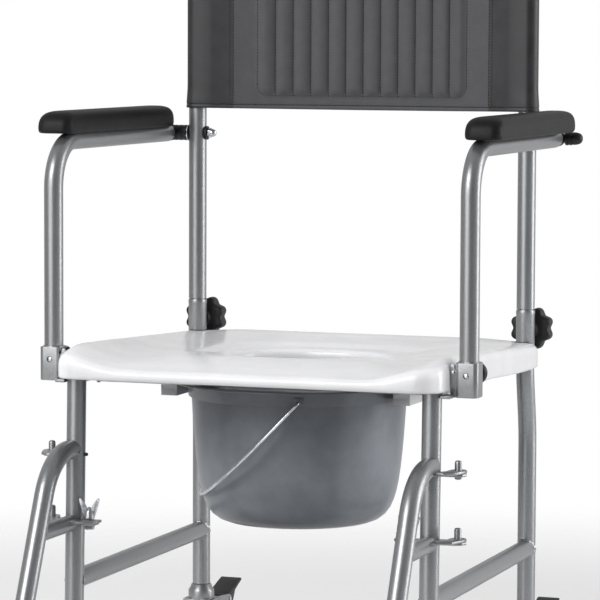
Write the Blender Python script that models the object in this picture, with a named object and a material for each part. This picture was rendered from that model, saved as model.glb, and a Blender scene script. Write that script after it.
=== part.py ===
"""Commode wheelchair: painted tube frame, lift-off back, flip-up arms, moulded seat with a
slide-out pail, swing-away leg rests and four swivel castors.

Every place below is measured from the plane of the two rear posts (y = 0), with the floor at
z = 0 and the front of the chair at -y. One empty then moves the whole chair, so that the middle
of its box stands on the origin. Lengths are in metres. `side` is 1 on the sitter's left hand
side (+x) and -1 on the other side.
"""

import math

import bmesh
import bpy
from mathutils import Matrix, Vector

# Driving dimensions
overall_length = 0.900
overall_height = 1.011
handle_reach = 0.150
frame_half_width = 0.2145
arm_half_width = 0.2515
front_leg_y = -0.385
front_leg_rake = 0.0328
front_leg_rake_z = 0.450
rear_leg_kick = 0.0145
joint_z = 0.5275
seat_tube_z = 0.4725
cross_tube_radius = 0.0095
cross_tube_z = 0.4700
front_cross_y = -0.345
lower_rail_z = 0.234
castor_top_z = 0.165
gap = 0.0004

# Tubes
tube_radius = 0.0111
tube_wall = 0.0015
tube_bore = tube_radius - tube_wall
inner_radius = 0.0092
inner_bore = inner_radius - tube_wall
tube_sides = 12

# Backrest
bend_radius = 0.055
grip_radius = 0.0155
grip_length = 0.094
handle_z = overall_height - grip_radius - 0.0005
spigot_bottom_z = 0.4745
sling_bottom_z = 0.771
sling_top_z = 0.940
sling_sag = 0.0165
channel_count = 12
channel_panel_half_width = 0.136
channel_depth = 0.0028

# Arms
arm_z = 0.7395
arm_post_y = -0.3655
arm_bend_radius = 0.054
arm_rear_y = -0.0130
pad_front_y = -0.353
pad_rear_y = -0.015
pad_bottom_z = 0.749
pad_half_width = 0.0225
pad_centre_x = 0.259
shoe_half = 0.0131
shoe_bottom_z = 0.463
shoe_top_z = 0.502
shoe_wall = 0.0015
lock_z = 0.4875
lock_pin_radius = 0.003

# Seat
seat_half_width = 0.232
seat_front_y = -0.420
seat_rear_y = 0.016
seat_front_corner = 0.040
seat_rear_corner = 0.025
seat_thickness = 0.0035
skirt_bottom_z = 0.470
opening_y = -0.205
opening_half_width = 0.100
opening_half_length = 0.110
opening_wall_bottom_z = 0.468

# Pail
pail_y = -0.220
flange_radius = 0.148
flange_bottom_z = 0.456
flange_top_z = 0.459
collar_radius = 0.131
pail_wall = 0.0022
pail_sides = 28
bail_axis_angle = math.radians(19.0)
bail_drop_angle = math.radians(46.6)
bail_pivot_z = 0.446
bail_wire_radius = 0.0019
bail_arm_reach = 0.137
bail_depth = 0.169

# Leg rests
hinge_pin = Vector((0.2455, -0.385))
hanger_x = 0.2165
hanger_top_z = 0.3865
hanger_bend_y = -0.406
hanger_bend_radius = 0.075
hanger_slope = math.radians(65.0)
hanger_end_z = 0.215
stub_radius = 0.0095
stub_z = 0.3010
footrest_top_z = 0.280
footrest_run_z = 0.112
footrest_bend_radius = 0.035
footrest_end_y = -0.742
plate_front_y = handle_reach - overall_length
plate_rear_y = -0.606
plate_inner_x = 0.045
stud_point = Vector((0.193, -0.399))

# Castors
wheel_radius = 0.0625
wheel_sides = 16
castor_trail = 0.038
stem_radius = 0.0055
fork_inner = 0.0165
fork_thickness = 0.003


def clear_scene():
    for item in list(bpy.data.objects):
        bpy.data.objects.remove(item, do_unlink=True)


def make_material(name, colour, metallic, roughness):
    material = bpy.data.materials.new(name)
    material.use_nodes = True
    shader = material.node_tree.nodes["Principled BSDF"]
    shader.inputs["Base Color"].default_value = (*colour, 1.0)
    shader.inputs["Metallic"].default_value = metallic
    shader.inputs["Roughness"].default_value = roughness
    material.diffuse_color = (*colour, 1.0)
    return material


# Mesh helpers: each returns a mesh in the rear-post frame
def solid(points, faces):
    mesh = bpy.data.meshes.new("solid")
    mesh.from_pydata([tuple(p) for p in points], [], faces)
    work = bmesh.new()
    work.from_mesh(mesh)
    bmesh.ops.recalc_face_normals(work, faces=work.faces)
    work.to_mesh(mesh)
    work.free()
    return mesh


def ring(centre, across, up, radius, sides):
    step = 2.0 * math.pi / sides
    return [centre + across * (radius * math.cos(i * step)) + up * (radius * math.sin(i * step))
            for i in range(sides)]


def skin(rings, first, faces, closed=False):
    count = len(rings[0])
    pairs = len(rings) if closed else len(rings) - 1
    for r in range(pairs):
        low = first + r * count
        high = first + ((r + 1) % len(rings)) * count
        for i in range(count):
            j = (i + 1) % count
            faces.append((low + i, low + j, high + j, high + i))


def stack(rings):
    """A solid through closed rings, capped at both ends."""
    faces = []
    skin(rings, 0, faces)
    count = len(rings[0])
    faces.append(tuple(range(count)))
    faces.append(tuple(range((len(rings) - 1) * count, len(rings) * count)))
    return solid([p for loop in rings for p in loop], faces)


def torus(rings):
    """A solid whose rings close on themselves."""
    faces = []
    skin(rings, 0, faces, closed=True)
    return solid([p for loop in rings for p in loop], faces)


def path_rings(path, radii, across, sides, square_to=None, square_count=None):
    """Rings along a flat path, square to it, or the first `square_count` of them (all of them
    when it isn't given) square to one direction; `across` is square to the path's plane."""
    if square_count is None:
        square_count = len(path)
    rings = []
    for index, point in enumerate(path):
        before = path[max(index - 1, 0)]
        after = path[min(index + 1, len(path) - 1)]
        if square_to is not None and index < square_count:
            direction = square_to
        elif before == point:
            direction = after - point
        elif after == point:
            direction = point - before
        else:
            direction = (after - point).normalized() + (point - before).normalized()
        up = direction.normalized().cross(across)
        rings.append(ring(point, across, up, radii[index], sides))
    return rings


def tube(path, outer, bore, across, square_to=None, bore_path=None, sides=tube_sides):
    """An open-ended tube. `outer` and `bore` are a radius, or one radius for each point."""
    outer_radii = outer if isinstance(outer, list) else [outer] * len(path)
    inner_path = path if bore_path is None else bore_path
    bore_radii = bore if isinstance(bore, list) else [bore] * len(inner_path)
    outside = path_rings(path, outer_radii, across, sides, square_to)
    inside = path_rings(inner_path, bore_radii, across, sides, square_to)
    return torus(outside + inside[::-1])


def turned(profile, origin, axis, across, sides=16, closed=False):
    """A solid of revolution. The profile's (radius, height) points start and end on the axis,
    or run round a hollow and close on themselves."""
    up = axis.cross(across)
    points = []
    loops = []
    for radius, height in profile:
        centre = origin + axis * height
        if radius == 0.0:
            loops.append([len(points)])
            points.append(centre)
        else:
            loops.append(list(range(len(points), len(points) + sides)))
            points.extend(ring(centre, across, up, radius, sides))
    faces = []
    following = loops[1:] + loops[:1] if closed else loops[1:]
    for low, high in zip(loops, following):
        if len(low) == 1 and len(high) == 1:
            continue
        for i in range(sides):
            j = (i + 1) % sides
            if len(low) == 1:
                faces.append((low[0], high[j], high[i]))
            elif len(high) == 1:
                faces.append((low[i], low[j], high[0]))
            else:
                faces.append((low[i], low[j], high[j], high[i]))
    return solid(points, faces)


def turned_ring(profile, origin, axis, across, sides=16):
    """A ring of revolution, from a closed profile that stays off the axis."""
    up = axis.cross(across)
    return torus([ring(origin + axis * height, across, up, radius, sides)
                  for radius, height in profile])


def prism(outline, place):
    """An outline drawn in two directions and raised along a third by the function `place`."""
    count = len(outline)
    points = [place(a, b, 0.0) for a, b in outline] + [place(a, b, 1.0) for a, b in outline]
    faces = [tuple(range(count)), tuple(range(count, 2 * count))]
    for i in range(count):
        j = (i + 1) % count
        faces.append((i, j, count + j, count + i))
    return solid(points, faces)


def slab(outline, low_z, high_z):
    return prism(outline, lambda a, b, t: Vector((a, b, low_z + t * (high_z - low_z))))


def block(low, high):
    outline = [(low[0], low[1]), (high[0], low[1]), (high[0], high[1]), (low[0], high[1])]
    return slab(outline, low[2], high[2])


def rod(start, end, radius, sides=12):
    axis = (end - start).normalized()
    across = Vector((0, 0, 1)) if abs(axis.z) < 0.5 else Vector((1, 0, 0))
    across = (across - axis * across.dot(axis)).normalized()
    up = axis.cross(across)
    return stack([ring(start, across, up, radius, sides), ring(end, across, up, radius, sides)])


def mirrored(mesh, side):
    """Pieces are drawn on the +x side; the other side is their mirror image."""
    if side < 0:
        mesh.transform(Matrix.Scale(-1.0, 4, Vector((1, 0, 0))))
        mesh.flip_normals()
    return mesh


def combine(mesh, steps):
    """Joins ("UNION") or cuts ("DIFFERENCE") other solids into a mesh, one after another."""
    for operation, other in steps:
        body = bpy.data.objects.new("body", mesh)
        tool = bpy.data.objects.new("tool", other)
        bpy.context.scene.collection.objects.link(body)
        bpy.context.scene.collection.objects.link(tool)
        modifier = body.modifiers.new("shape", "BOOLEAN")
        modifier.operation = operation
        modifier.solver = "EXACT"
        modifier.object = tool
        bpy.context.view_layer.update()
        evaluated = body.evaluated_get(bpy.context.evaluated_depsgraph_get())
        mesh = bpy.data.meshes.new_from_object(evaluated)
        bpy.data.objects.remove(body, do_unlink=True)
        bpy.data.objects.remove(tool, do_unlink=True)
    return mesh


def add_node(name, mesh, material, parent, pivot=Vector((0, 0, 0)), round_shape=True):
    """Places a mesh as a named object whose origin is its joint, under its parent."""
    work = bmesh.new()
    work.from_mesh(mesh)
    bmesh.ops.remove_doubles(work, verts=work.verts, dist=0.00002)
    bmesh.ops.dissolve_degenerate(work, edges=work.edges, dist=0.00001)
    bmesh.ops.triangulate(work, faces=[f for f in work.faces if len(f.verts) > 4])
    work.to_mesh(mesh)
    work.free()
    mesh.transform(Matrix.Translation(-pivot))
    mesh.name = name
    node = bpy.data.objects.new(name, mesh)
    bpy.context.scene.collection.objects.link(node)
    mesh.materials.clear()
    mesh.materials.append(make_material(name, *material))
    if round_shape:
        mesh.shade_smooth()
        mesh.set_sharp_from_angle(angle=math.radians(35))
    node.parent = parent
    node.location = pivot - pivots[parent.name]
    pivots[name] = pivot
    return node


def arc(centre, radius, start, end, steps):
    """Points of an arc in the y-z plane, its angles measured from +y towards +z."""
    points = []
    for i in range(steps + 1):
        angle = start + (end - start) * i / steps
        points.append(Vector((centre[0], centre[1] + radius * math.cos(angle),
                              centre[2] + radius * math.sin(angle))))
    return points


def rounded_outline(low, high, radii, steps):
    """A rectangle with rounded corners; the radii run from the low x, low y corner round."""
    corners = [(low[0], low[1], 180), (high[0], low[1], 270),
               (high[0], high[1], 0), (low[0], high[1], 90)]
    points = []
    for (cx, cy, first), radius in zip(corners, radii):
        mid_x = cx + radius if cx == low[0] else cx - radius
        mid_y = cy + radius if cy == low[1] else cy - radius
        for i in range(steps + 1):
            angle = math.radians(first + 90.0 * i / steps)
            points.append((mid_x + radius * math.cos(angle), mid_y + radius * math.sin(angle)))
    return points


def smooth_step(value):
    value = min(max(value, 0.0), 1.0)
    return value * value * (3.0 - 2.0 * value)


# Materials: colour, metallic, roughness
silver_paint = ((0.42, 0.42, 0.43), 0.7, 0.35)
bright_steel = ((0.75, 0.75, 0.76), 1.0, 0.2)
white_plastic = ((0.90, 0.91, 0.93), 0.0, 0.25)
grey_plastic = ((0.20, 0.21, 0.23), 0.0, 0.35)
black_plastic = ((0.025, 0.025, 0.027), 0.0, 0.5)
black_foam = ((0.02, 0.02, 0.022), 0.0, 0.6)
grey_cloth = ((0.045, 0.045, 0.05), 0.0, 0.7)
grey_rubber = ((0.10, 0.10, 0.11), 0.0, 0.7)

x_axis = Vector((1, 0, 0))
y_axis = Vector((0, 1, 0))
z_axis = Vector((0, 0, 1))
pivots = {}


def leg_y(z):
    """The raked front leg's centre line."""
    return front_leg_y - front_leg_rake * (front_leg_rake_z - z)


def rear_leg_y(z):
    """The rear leg steps back below the seat."""
    return rear_leg_kick * smooth_step((0.470 - z) / 0.105)


# Frame
def leg_bore(path):
    """The bore narrows over its lowest part, where a plug holds the castor's stem."""
    plug_top = castor_top_z + 0.040
    direction = (path[1] - path[0]) / (path[1].z - path[0].z)
    at_plug = path[0] + direction * (plug_top - path[0].z)
    upright = Vector((path[0].x, path[0].y, plug_top))
    points = [path[0], upright, at_plug + direction * 0.001] + path[1:]
    radii = [stem_radius + 0.0005] * 2 + [tube_bore] * (len(points) - 2)
    return points, radii


def front_leg(name, side, parent):
    heights = (castor_top_z, 0.4835)
    path = [Vector((frame_half_width, leg_y(z), z)) for z in heights]
    bore_path, bore = leg_bore(path)
    mesh = tube(path, tube_radius, bore, x_axis, z_axis, bore_path)
    add_node(name, mirrored(mesh, side), silver_paint, parent)


def rear_leg(name, side, parent):
    heights = [castor_top_z, 0.365, 0.400, 0.435, 0.470, 0.480, joint_z - 0.0055,
               joint_z - 0.0045, joint_z - 0.0008, joint_z]
    path = [Vector((frame_half_width, rear_leg_y(z), z)) for z in heights]
    sleeve = tube_radius + 0.0003
    bead = tube_radius + 0.0016
    outer = [tube_radius] * 5 + [sleeve] * 2 + [bead] * 2 + [bead - 0.0008]
    bore_path, bore = leg_bore(path[:5] + path[-1:])
    outside = path_rings(path, outer, x_axis, tube_sides, z_axis)
    inside = path_rings(bore_path, bore, x_axis, tube_sides, z_axis)
    mesh = torus(outside + inside[::-1])
    stud_hole = rod(Vector((frame_half_width, 0.004, 0.504)),
                    Vector((frame_half_width, 0.016, 0.504)), 0.0034)
    mesh = combine(mesh, [("DIFFERENCE", stud_hole)])
    add_node(name, mirrored(mesh, side), silver_paint, parent)


def straight_tube(name, start, end, radius, side, parent, across):
    mesh = tube([start, end], radius, radius - tube_wall, across)
    add_node(name, mirrored(mesh, side), silver_paint, parent)


def frame_tubes(parent):
    front_face = leg_y(seat_tube_z) + tube_radius + gap
    rear_face = -tube_radius - gap
    cross_half = frame_half_width - tube_radius - gap
    rail_front = leg_y(lower_rail_z) + tube_radius + gap
    rail_rear = rear_leg_kick - tube_radius - gap
    for label, side in (("right", 1), ("left", -1)):
        straight_tube("seat_side_tube_" + label,
                      Vector((frame_half_width, front_face, seat_tube_z)),
                      Vector((frame_half_width, rear_face, seat_tube_z)), tube_radius, side,
                      parent, x_axis)
        straight_tube("lower_side_rail_" + label,
                      Vector((frame_half_width, rail_front, lower_rail_z)),
                      Vector((frame_half_width, rail_rear, lower_rail_z)), tube_radius, side,
                      parent, x_axis)
    for name, y in (("seat_cross_tube_front", front_cross_y), ("seat_cross_tube_rear", 0.0)):
        straight_tube(name, Vector((-cross_half, y, cross_tube_z)),
                      Vector((cross_half, y, cross_tube_z)), cross_tube_radius, 1, parent, z_axis)


# Seat
def seat_edge_z(x, y):
    """Height of the seat's rim: low at the front middle, raised at the front corners."""
    rise = 0.23 + 0.77 * min(max(-y / 0.42, 0.0), 1.0) ** 0.8
    return 0.4835 + 0.0245 * rise * smooth_step((abs(x) - 0.03) / 0.18)


def seat_top_z(x, y, share):
    """Height of the dished top; share runs from 0 at the opening to 1 at the rim."""
    return 0.4850 + (seat_edge_z(x, y) - 0.4850) * share ** 1.6 + 0.0012 * math.sin(math.pi * share)


def seat_shell():
    low = (-seat_half_width, seat_front_y)
    high = (seat_half_width, seat_rear_y)
    radii = (seat_front_corner, seat_front_corner, seat_rear_corner, seat_rear_corner)
    rim = []
    corner_points = rounded_outline(low, high, radii, 5)
    for (ax, ay), (bx, by) in zip(corner_points, corner_points[1:] + corner_points[:1]):
        length = math.hypot(bx - ax, by - ay)
        parts = max(1, round(length / 0.062))
        for i in range(parts):
            rim.append((ax + (bx - ax) * i / parts, ay + (by - ay) * i / parts))

    def opening_edge(x, y):
        angle = math.atan2((y - opening_y) / opening_half_length, x / opening_half_width)
        power = 2.0 / 2.5
        c = math.cos(angle)
        s = math.sin(angle)
        return (opening_half_width * math.copysign(abs(c) ** power, c),
                opening_y + opening_half_length * math.copysign(abs(s) ** power, s))

    def loop(share, inset, height):
        points = []
        for x, y in rim:
            ox, oy = opening_edge(x, y)
            run = math.hypot(x - ox, y - oy)
            along = share - inset / run
            px = ox + (x - ox) * along
            py = oy + (y - oy) * along
            points.append(Vector((px, py, height(px, py, along))))
        return points

    def top(drop):
        return lambda x, y, share: seat_top_z(x, y, share) - drop

    def flat(z):
        return lambda x, y, share: z

    def rim_height(drop):
        return lambda x, y, share: seat_top_z(x, y, 1.0) - drop

    rings = [loop(0.0, 0.0, flat(0.4845)),
             loop(0.0, -0.0015, flat(0.4875)),
             loop(0.0, -0.0045, flat(0.4882)),
             loop(0.0, -0.0100, top(0.0)),
             loop(0.30, 0.0, top(0.0)),
             loop(0.65, 0.0, top(0.0)),
             loop(1.0, 0.0090, rim_height(0.0)),
             loop(1.0, 0.0026, rim_height(0.0024)),
             loop(1.0, 0.0, rim_height(0.0085)),
             loop(1.0, 0.0, flat(skirt_bottom_z)),
             loop(1.0, 0.0030, flat(skirt_bottom_z)),
             loop(1.0, 0.0034, rim_height(0.0090)),
             loop(1.0, 0.0075, rim_height(0.0040)),
             loop(0.65, 0.0, top(seat_thickness)),
             loop(0.30, 0.0, top(seat_thickness)),
             loop(0.0, -0.0055, flat(0.4810)),
             loop(0.0, -0.0030, flat(opening_wall_bottom_z)),
             loop(0.0, 0.0, flat(opening_wall_bottom_z))]
    return torus(rings)


def pail_rail(side):
    """A channel under the seat that the pail's flange slides in, open towards the pail."""
    section = [(0.1335, 0.4500), (0.1580, 0.4500), (0.1580, 0.4870), (0.1520, 0.4870),
               (0.1520, 0.4640), (0.1335, 0.4640), (0.1335, 0.4612), (0.1505, 0.4612),
               (0.1505, 0.4535), (0.1335, 0.4535)]
    mesh = prism(section, lambda a, b, t: Vector((a, -0.275 + t * 0.245, b)))
    return mirrored(mesh, side)


def seat(parent):
    steps = []
    for side in (1, -1):
        steps.append(("UNION", pail_rail(side)))
        notch = rounded_outline((0.2020, -0.0132), (0.2272, 0.0600),
                                (0.0115, 0.0115, 0.001, 0.001), 3)
        steps.append(("DIFFERENCE", mirrored(slab(notch, 0.400, 0.560), side)))
    add_node("seat", combine(seat_shell(), steps), white_plastic, parent)


def arm_tongue(name, side, parent):
    """A bracket under the seat's corner with an upright tongue that the arm's shoe drops over."""
    foot = block((0.2260, -0.394, 0.4630), (0.2378, -0.3730, 0.4665))
    outline = [(0.2327, 0.4630), (0.2615, 0.4630), (0.2615, 0.4880), (0.2570, 0.4935),
               (0.2395, 0.4935), (0.2380, 0.4950), (0.2380, 0.4995), (0.2345, 0.5005),
               (0.2327, 0.4985)]
    tongue = prism(outline, lambda a, b, t: Vector((a, -0.3760 + t * 0.0030, b)))
    hole = rod(Vector((arm_half_width, -0.380, lock_z)), Vector((arm_half_width, -0.370, lock_z)),
               lock_pin_radius + 0.0003)
    mesh = combine(foot, [("UNION", tongue), ("DIFFERENCE", hole)])
    add_node(name, mirrored(mesh, side), silver_paint, parent, round_shape=False)


def hanger_lug(name, side, parent):
    """The upper hinge of a leg rest: a lug on the leg with its upright pin."""
    outline = [(0.2260, -0.3955), (0.2455, -0.3955), (0.2525, -0.3925), (0.2555, -0.3850),
               (0.2525, -0.3775), (0.2455, -0.3755), (0.2260, -0.3795)]
    lug = slab(outline, 0.3765, 0.3795)
    pin = turned([(0, 0.3730), (0.0032, 0.3730), (0.0040, 0.3740), (0.0040, 0.3925),
                  (0.0028, 0.3940), (0, 0.3940)], Vector((hinge_pin.x, hinge_pin.y, 0.0)),
                 z_axis, x_axis, 12)
    add_node(name, mirrored(combine(lug, [("UNION", pin)]), side), silver_paint, parent)


def hanger_bracket(name, side, parent):
    """The lower hinge: a plate round the leg with the hinge pin outside and a stud inside."""
    outline = [(0.1840, -0.4080), (0.1990, -0.4085), (0.2030, -0.4000), (0.2455, -0.3955),
               (0.2525, -0.3925), (0.2555, -0.3850), (0.2525, -0.3775), (0.2455, -0.3755),
               (0.2260, -0.3720), (0.2000, -0.3720), (0.1840, -0.3900)]
    plate = slab(outline, 0.3000, 0.3030)
    leg = rod(Vector((frame_half_width, leg_y(0.28), 0.28)),
              Vector((frame_half_width, leg_y(0.32), 0.32)), tube_radius + gap, tube_sides)
    pin = turned([(0, 0.3000), (0.0040, 0.3000), (0.0040, 0.3170), (0.0028, 0.3185), (0, 0.3185)],
                 Vector((hinge_pin.x, hinge_pin.y, 0.0)), z_axis, x_axis, 12)
    stud = turned([(0, 0.3000), (0.0030, 0.3000), (0.0030, 0.3310), (0.0022, 0.3320),
                   (0, 0.3320)], Vector((stud_point.x, stud_point.y, 0.0)), z_axis, x_axis, 12)
    mesh = combine(plate, [("DIFFERENCE", leg), ("UNION", pin), ("UNION", stud)])
    add_node(name, mirrored(mesh, side), silver_paint, parent)


# Backrest
def back_post(name, side, parent):
    straight = [spigot_bottom_z, joint_z + 0.0004, joint_z + 0.0004, 0.60, handle_z - bend_radius]
    path = [Vector((frame_half_width, 0.0, z)) for z in straight]
    outer = [inner_radius, inner_radius, tube_radius, tube_radius, tube_radius]
    bend = arc((frame_half_width, bend_radius, handle_z - bend_radius), bend_radius,
               math.pi, 0.5 * math.pi, 5)
    path += bend[1:] + [Vector((frame_half_width, handle_reach - 0.004, handle_z))]
    outer += [tube_radius] * (len(path) - len(outer))
    bore_path = [path[0], Vector((frame_half_width, 0.0, joint_z + 0.006)),
                 Vector((frame_half_width, 0.0, joint_z + 0.010))] + path[4:]
    bore = [inner_bore, inner_bore] + [tube_bore] * (len(bore_path) - 2)
    outside = path_rings(path, outer, x_axis, tube_sides, z_axis, 4)
    inside = path_rings(bore_path, bore, x_axis, tube_sides, z_axis, 3)
    mesh = torus(outside + inside[::-1])
    pivot_hole = rod(Vector((0.19, 0.0, arm_z)), Vector((0.24, 0.0, arm_z)), 0.0044)
    mesh = combine(mesh, [("DIFFERENCE", pivot_hole)])
    add_node(name, mirrored(mesh, side), silver_paint, parent)


def grip(name, side, parent):
    """A ribbed hand grip, closed at its rear end."""
    start = handle_reach - grip_length
    bore = tube_radius + 0.0003
    profile = [(bore, start), (grip_radius, start)]
    rib_pitch = 0.019
    rib_depth = 0.0015
    end_wall = 0.0032
    for i in range(4):
        low = start + 0.010 + i * rib_pitch
        profile += [(grip_radius, low), (grip_radius - rib_depth, low + 0.5 * rib_pitch)]
    profile += [(grip_radius, handle_reach - 0.006), (grip_radius - 0.004, handle_reach),
                (0.0, handle_reach), (0.0, handle_reach - end_wall),
                (bore, handle_reach - end_wall)]
    mesh = turned(profile, Vector((frame_half_width, 0, handle_z)), y_axis, x_axis, tube_sides,
                  closed=True)
    add_node(name, mirrored(mesh, side), black_plastic, parent)


def sling(parent):
    """The back panel: sleeves over both posts and a slack middle with upright channels."""
    outer = 0.0139
    inner = tube_radius + 0.0003
    half = frame_half_width
    edge = 0.196
    front_set = 0.0020
    panel_thickness = 0.0046
    pitch = 2.0 * channel_panel_half_width / channel_count
    side_columns = 4
    back_columns = 10
    sleeve_steps = 8

    def base_y(x):
        slack = sling_sag * max(0.0, 1.0 - (abs(x) / edge) ** 2.4)
        return -outer + front_set + slack * (1.0 + 0.55 * outer / sling_sag)

    def front_y(x, quilt):
        if abs(x) >= channel_panel_half_width:
            return base_y(x)
        phase = ((x + channel_panel_half_width) / pitch) % 1.0
        return base_y(x) - quilt * channel_depth * math.sin(math.pi * phase) ** 0.6

    def back_y(x):
        near_post = smooth_step((abs(x) - 0.150) / 0.046)
        return base_y(x) + panel_thickness + near_post * (2.0 * (outer - front_set)
                                                          - panel_thickness)

    def sleeve(side, z):
        start = -90.0 * side
        angles = [math.radians(start + 180.0 * i / sleeve_steps) for i in range(sleeve_steps + 1)]
        return [Vector((side * half + outer * math.cos(a), outer * math.sin(a), z))
                for a in angles]

    def row(z, quilt):
        border = (edge - channel_panel_half_width) / side_columns
        columns = [-edge + border * i for i in range(side_columns)]
        for i in range(channel_count):
            start = -channel_panel_half_width + i * pitch
            columns += [start, start + pitch * 0.2, start + pitch * 0.8]
        columns += [channel_panel_half_width + border * i for i in range(side_columns + 1)]
        backs = [edge - 2.0 * edge * i / back_columns for i in range(back_columns + 1)]
        return ([Vector((x, front_y(x, quilt), z)) for x in columns] + sleeve(1, z)
                + [Vector((x, back_y(x), z)) for x in backs] + sleeve(-1, z))

    rows = [(sling_bottom_z, 0.0), (0.785, 0.0), (0.793, 1.0), (0.918, 1.0), (0.926, 0.0),
            (sling_top_z, 0.0)]
    mesh = stack([row(z, quilt) for z, quilt in rows])
    steps = []
    for side in (1, -1):
        steps.append(("DIFFERENCE", rod(Vector((side * half, 0, sling_bottom_z - 0.02)),
                                        Vector((side * half, 0, sling_top_z + 0.02)), inner,
                                        tube_sides)))
    add_node("backrest_sling", combine(mesh, steps), grey_cloth, parent)


def pivot_bolt(name, side, parent):
    """The arm's pivot: a bolt through the post, with a domed cap on its outer end."""
    profile = [(0, 0.1960), (0.0040, 0.1960), (0.0040, 0.2628), (0.00725, 0.2628),
               (0.00725, 0.2770), (0.0062, 0.2815), (0.0035, 0.2836), (0, 0.2840)]
    mesh = turned(profile, Vector((0, 0, arm_z)), x_axis, z_axis, 12)
    add_node(name, mirrored(mesh, side), black_plastic, parent)


def acorn_nut(name, side, parent):
    """A washer and domed nut on the inner end of the pivot bolt."""
    profile = [(0, 0.1900), (0.0030, 0.1908), (0.0052, 0.1935), (0.0062, 0.1965),
               (0.0062, 0.2016), (0.0085, 0.2016), (0.0085, 0.2031), (0.0044, 0.2031),
               (0.0044, 0.1955), (0, 0.1955)]
    mesh = turned(profile, Vector((0, 0, arm_z)), x_axis, z_axis, 12)
    add_node(name, mirrored(mesh, side), bright_steel, parent)


# Arms
def arm_tube(name, side, parent):
    path = [Vector((arm_half_width, arm_post_y, 0.4965))]
    path += arc((arm_half_width, arm_post_y + arm_bend_radius, arm_z - arm_bend_radius),
                arm_bend_radius, math.pi, 0.5 * math.pi, 6)
    path += [Vector((arm_half_width, arm_rear_y, arm_z))]
    mesh = tube(path, tube_radius, tube_bore, x_axis)
    add_node(name, mirrored(mesh, side), silver_paint, parent, pivots[parent.name])


def arm_pad(name, side, parent):
    """A moulded pad with soft edges, its nose rounder than its rear end."""
    levels = [(0.0040, 0.0, 0.0), (0.0010, 0.0035, 0.12), (0.0, 0.0095, 0.3), (0.0002, 0.0150, 0.5),
              (0.0016, 0.0205, 0.8), (0.0044, 0.0245, 1.4), (0.0090, 0.0268, 2.0)]
    rings = []
    for inset, height, lean in levels:
        low = (pad_centre_x - pad_half_width + inset, pad_front_y + inset + lean * 0.0035)
        high = (pad_centre_x + pad_half_width - inset, pad_rear_y - inset - lean * 0.0012)
        radius = 0.0135 - 0.4 * inset
        outline = rounded_outline(low, high, (radius, radius, radius, radius), 4)
        rings.append([Vector((x, y, pad_bottom_z + height)) for x, y in outline])
    saddle = rod(Vector((arm_half_width, pad_front_y - 0.02, arm_z)),
                 Vector((arm_half_width, pad_rear_y + 0.02, arm_z)), tube_radius + gap, 24)
    mesh = combine(stack(rings), [("DIFFERENCE", saddle)])
    add_node(name, mirrored(mesh, side), black_foam, parent, pivots[parent.name])


def arm_knuckle(name, side, parent):
    """The plastic end of the arm: a plug in the tube, a bored eye and a spacer to the post."""
    body = turned([(0, -0.0280), (0.0086, -0.0280), (0.0092, -0.0265), (0.0092, -0.0127),
                   (0.0098, -0.0127), (0.0100, 0.0050), (0.0085, 0.0090), (0.0050, 0.0100),
                   (0, 0.0100)], Vector((arm_half_width, 0, arm_z)), y_axis, x_axis, 12)
    spacer = rod(Vector((0.2260, 0, arm_z)), Vector((0.2480, 0, arm_z)), 0.0096, 12)
    bore = rod(Vector((0.2200, 0, arm_z)), Vector((0.2700, 0, arm_z)), 0.0044)
    mesh = combine(body, [("UNION", spacer), ("DIFFERENCE", bore)])
    add_node(name, mirrored(mesh, side), black_plastic, parent, pivots[parent.name])


def arm_shoe(name, side, parent):
    """A folded box on the arm's foot, open inboard and below, that drops over the tongue."""
    low = Vector((arm_half_width - shoe_half, arm_post_y - shoe_half, shoe_bottom_z))
    high = Vector((arm_half_width + shoe_half, arm_post_y + shoe_half, shoe_top_z))
    inside = block((low.x - 0.01, low.y + shoe_wall, low.z - 0.01),
                   (high.x - shoe_wall, high.y - shoe_wall, high.z - shoe_wall))
    rear_relief = block((low.x - 0.01, high.y - 0.005, low.z - 0.01),
                        (high.x - shoe_wall, high.y + 0.01, 0.4735))
    tube_hole = rod(Vector((arm_half_width, arm_post_y, 0.480)),
                    Vector((arm_half_width, arm_post_y, 0.520)), tube_radius + gap, tube_sides)
    front_hole = rod(Vector((arm_half_width, low.y - 0.01, lock_z)),
                     Vector((arm_half_width, low.y + 0.005, lock_z)), lock_pin_radius + 0.0004)
    rear_hole = rod(Vector((arm_half_width, high.y - 0.005, lock_z)),
                    Vector((arm_half_width, high.y + 0.01, lock_z)), 0.0046)
    mesh = combine(block(low, high), [("DIFFERENCE", inside), ("DIFFERENCE", rear_relief),
                                      ("DIFFERENCE", tube_hole), ("DIFFERENCE", front_hole),
                                      ("DIFFERENCE", rear_hole)])
    add_node(name, mirrored(mesh, side), silver_paint, parent, pivots[parent.name])


def plunger(name, side, parent):
    """The pull knob that locks the arm: its pin crosses the shoe and the tongue."""
    front = arm_post_y - shoe_half
    profile = [(0, front + 0.0004), (0.0024, front + 0.0004), (lock_pin_radius, front + 0.0012),
               (lock_pin_radius, -0.3565), (0.0042, -0.3565), (0.0042, -0.3465),
               (0.0085, -0.3455), (0.0108, -0.3435), (0.0114, -0.3400), (0.0106, -0.3360),
               (0.0070, -0.3335), (0, -0.3330)]
    mesh = turned(profile, Vector((arm_half_width, 0, lock_z)), y_axis, x_axis, 12)
    add_node(name, mirrored(mesh, side), black_plastic, parent,
             Vector((side * arm_half_width, -0.3390, lock_z)))


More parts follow.
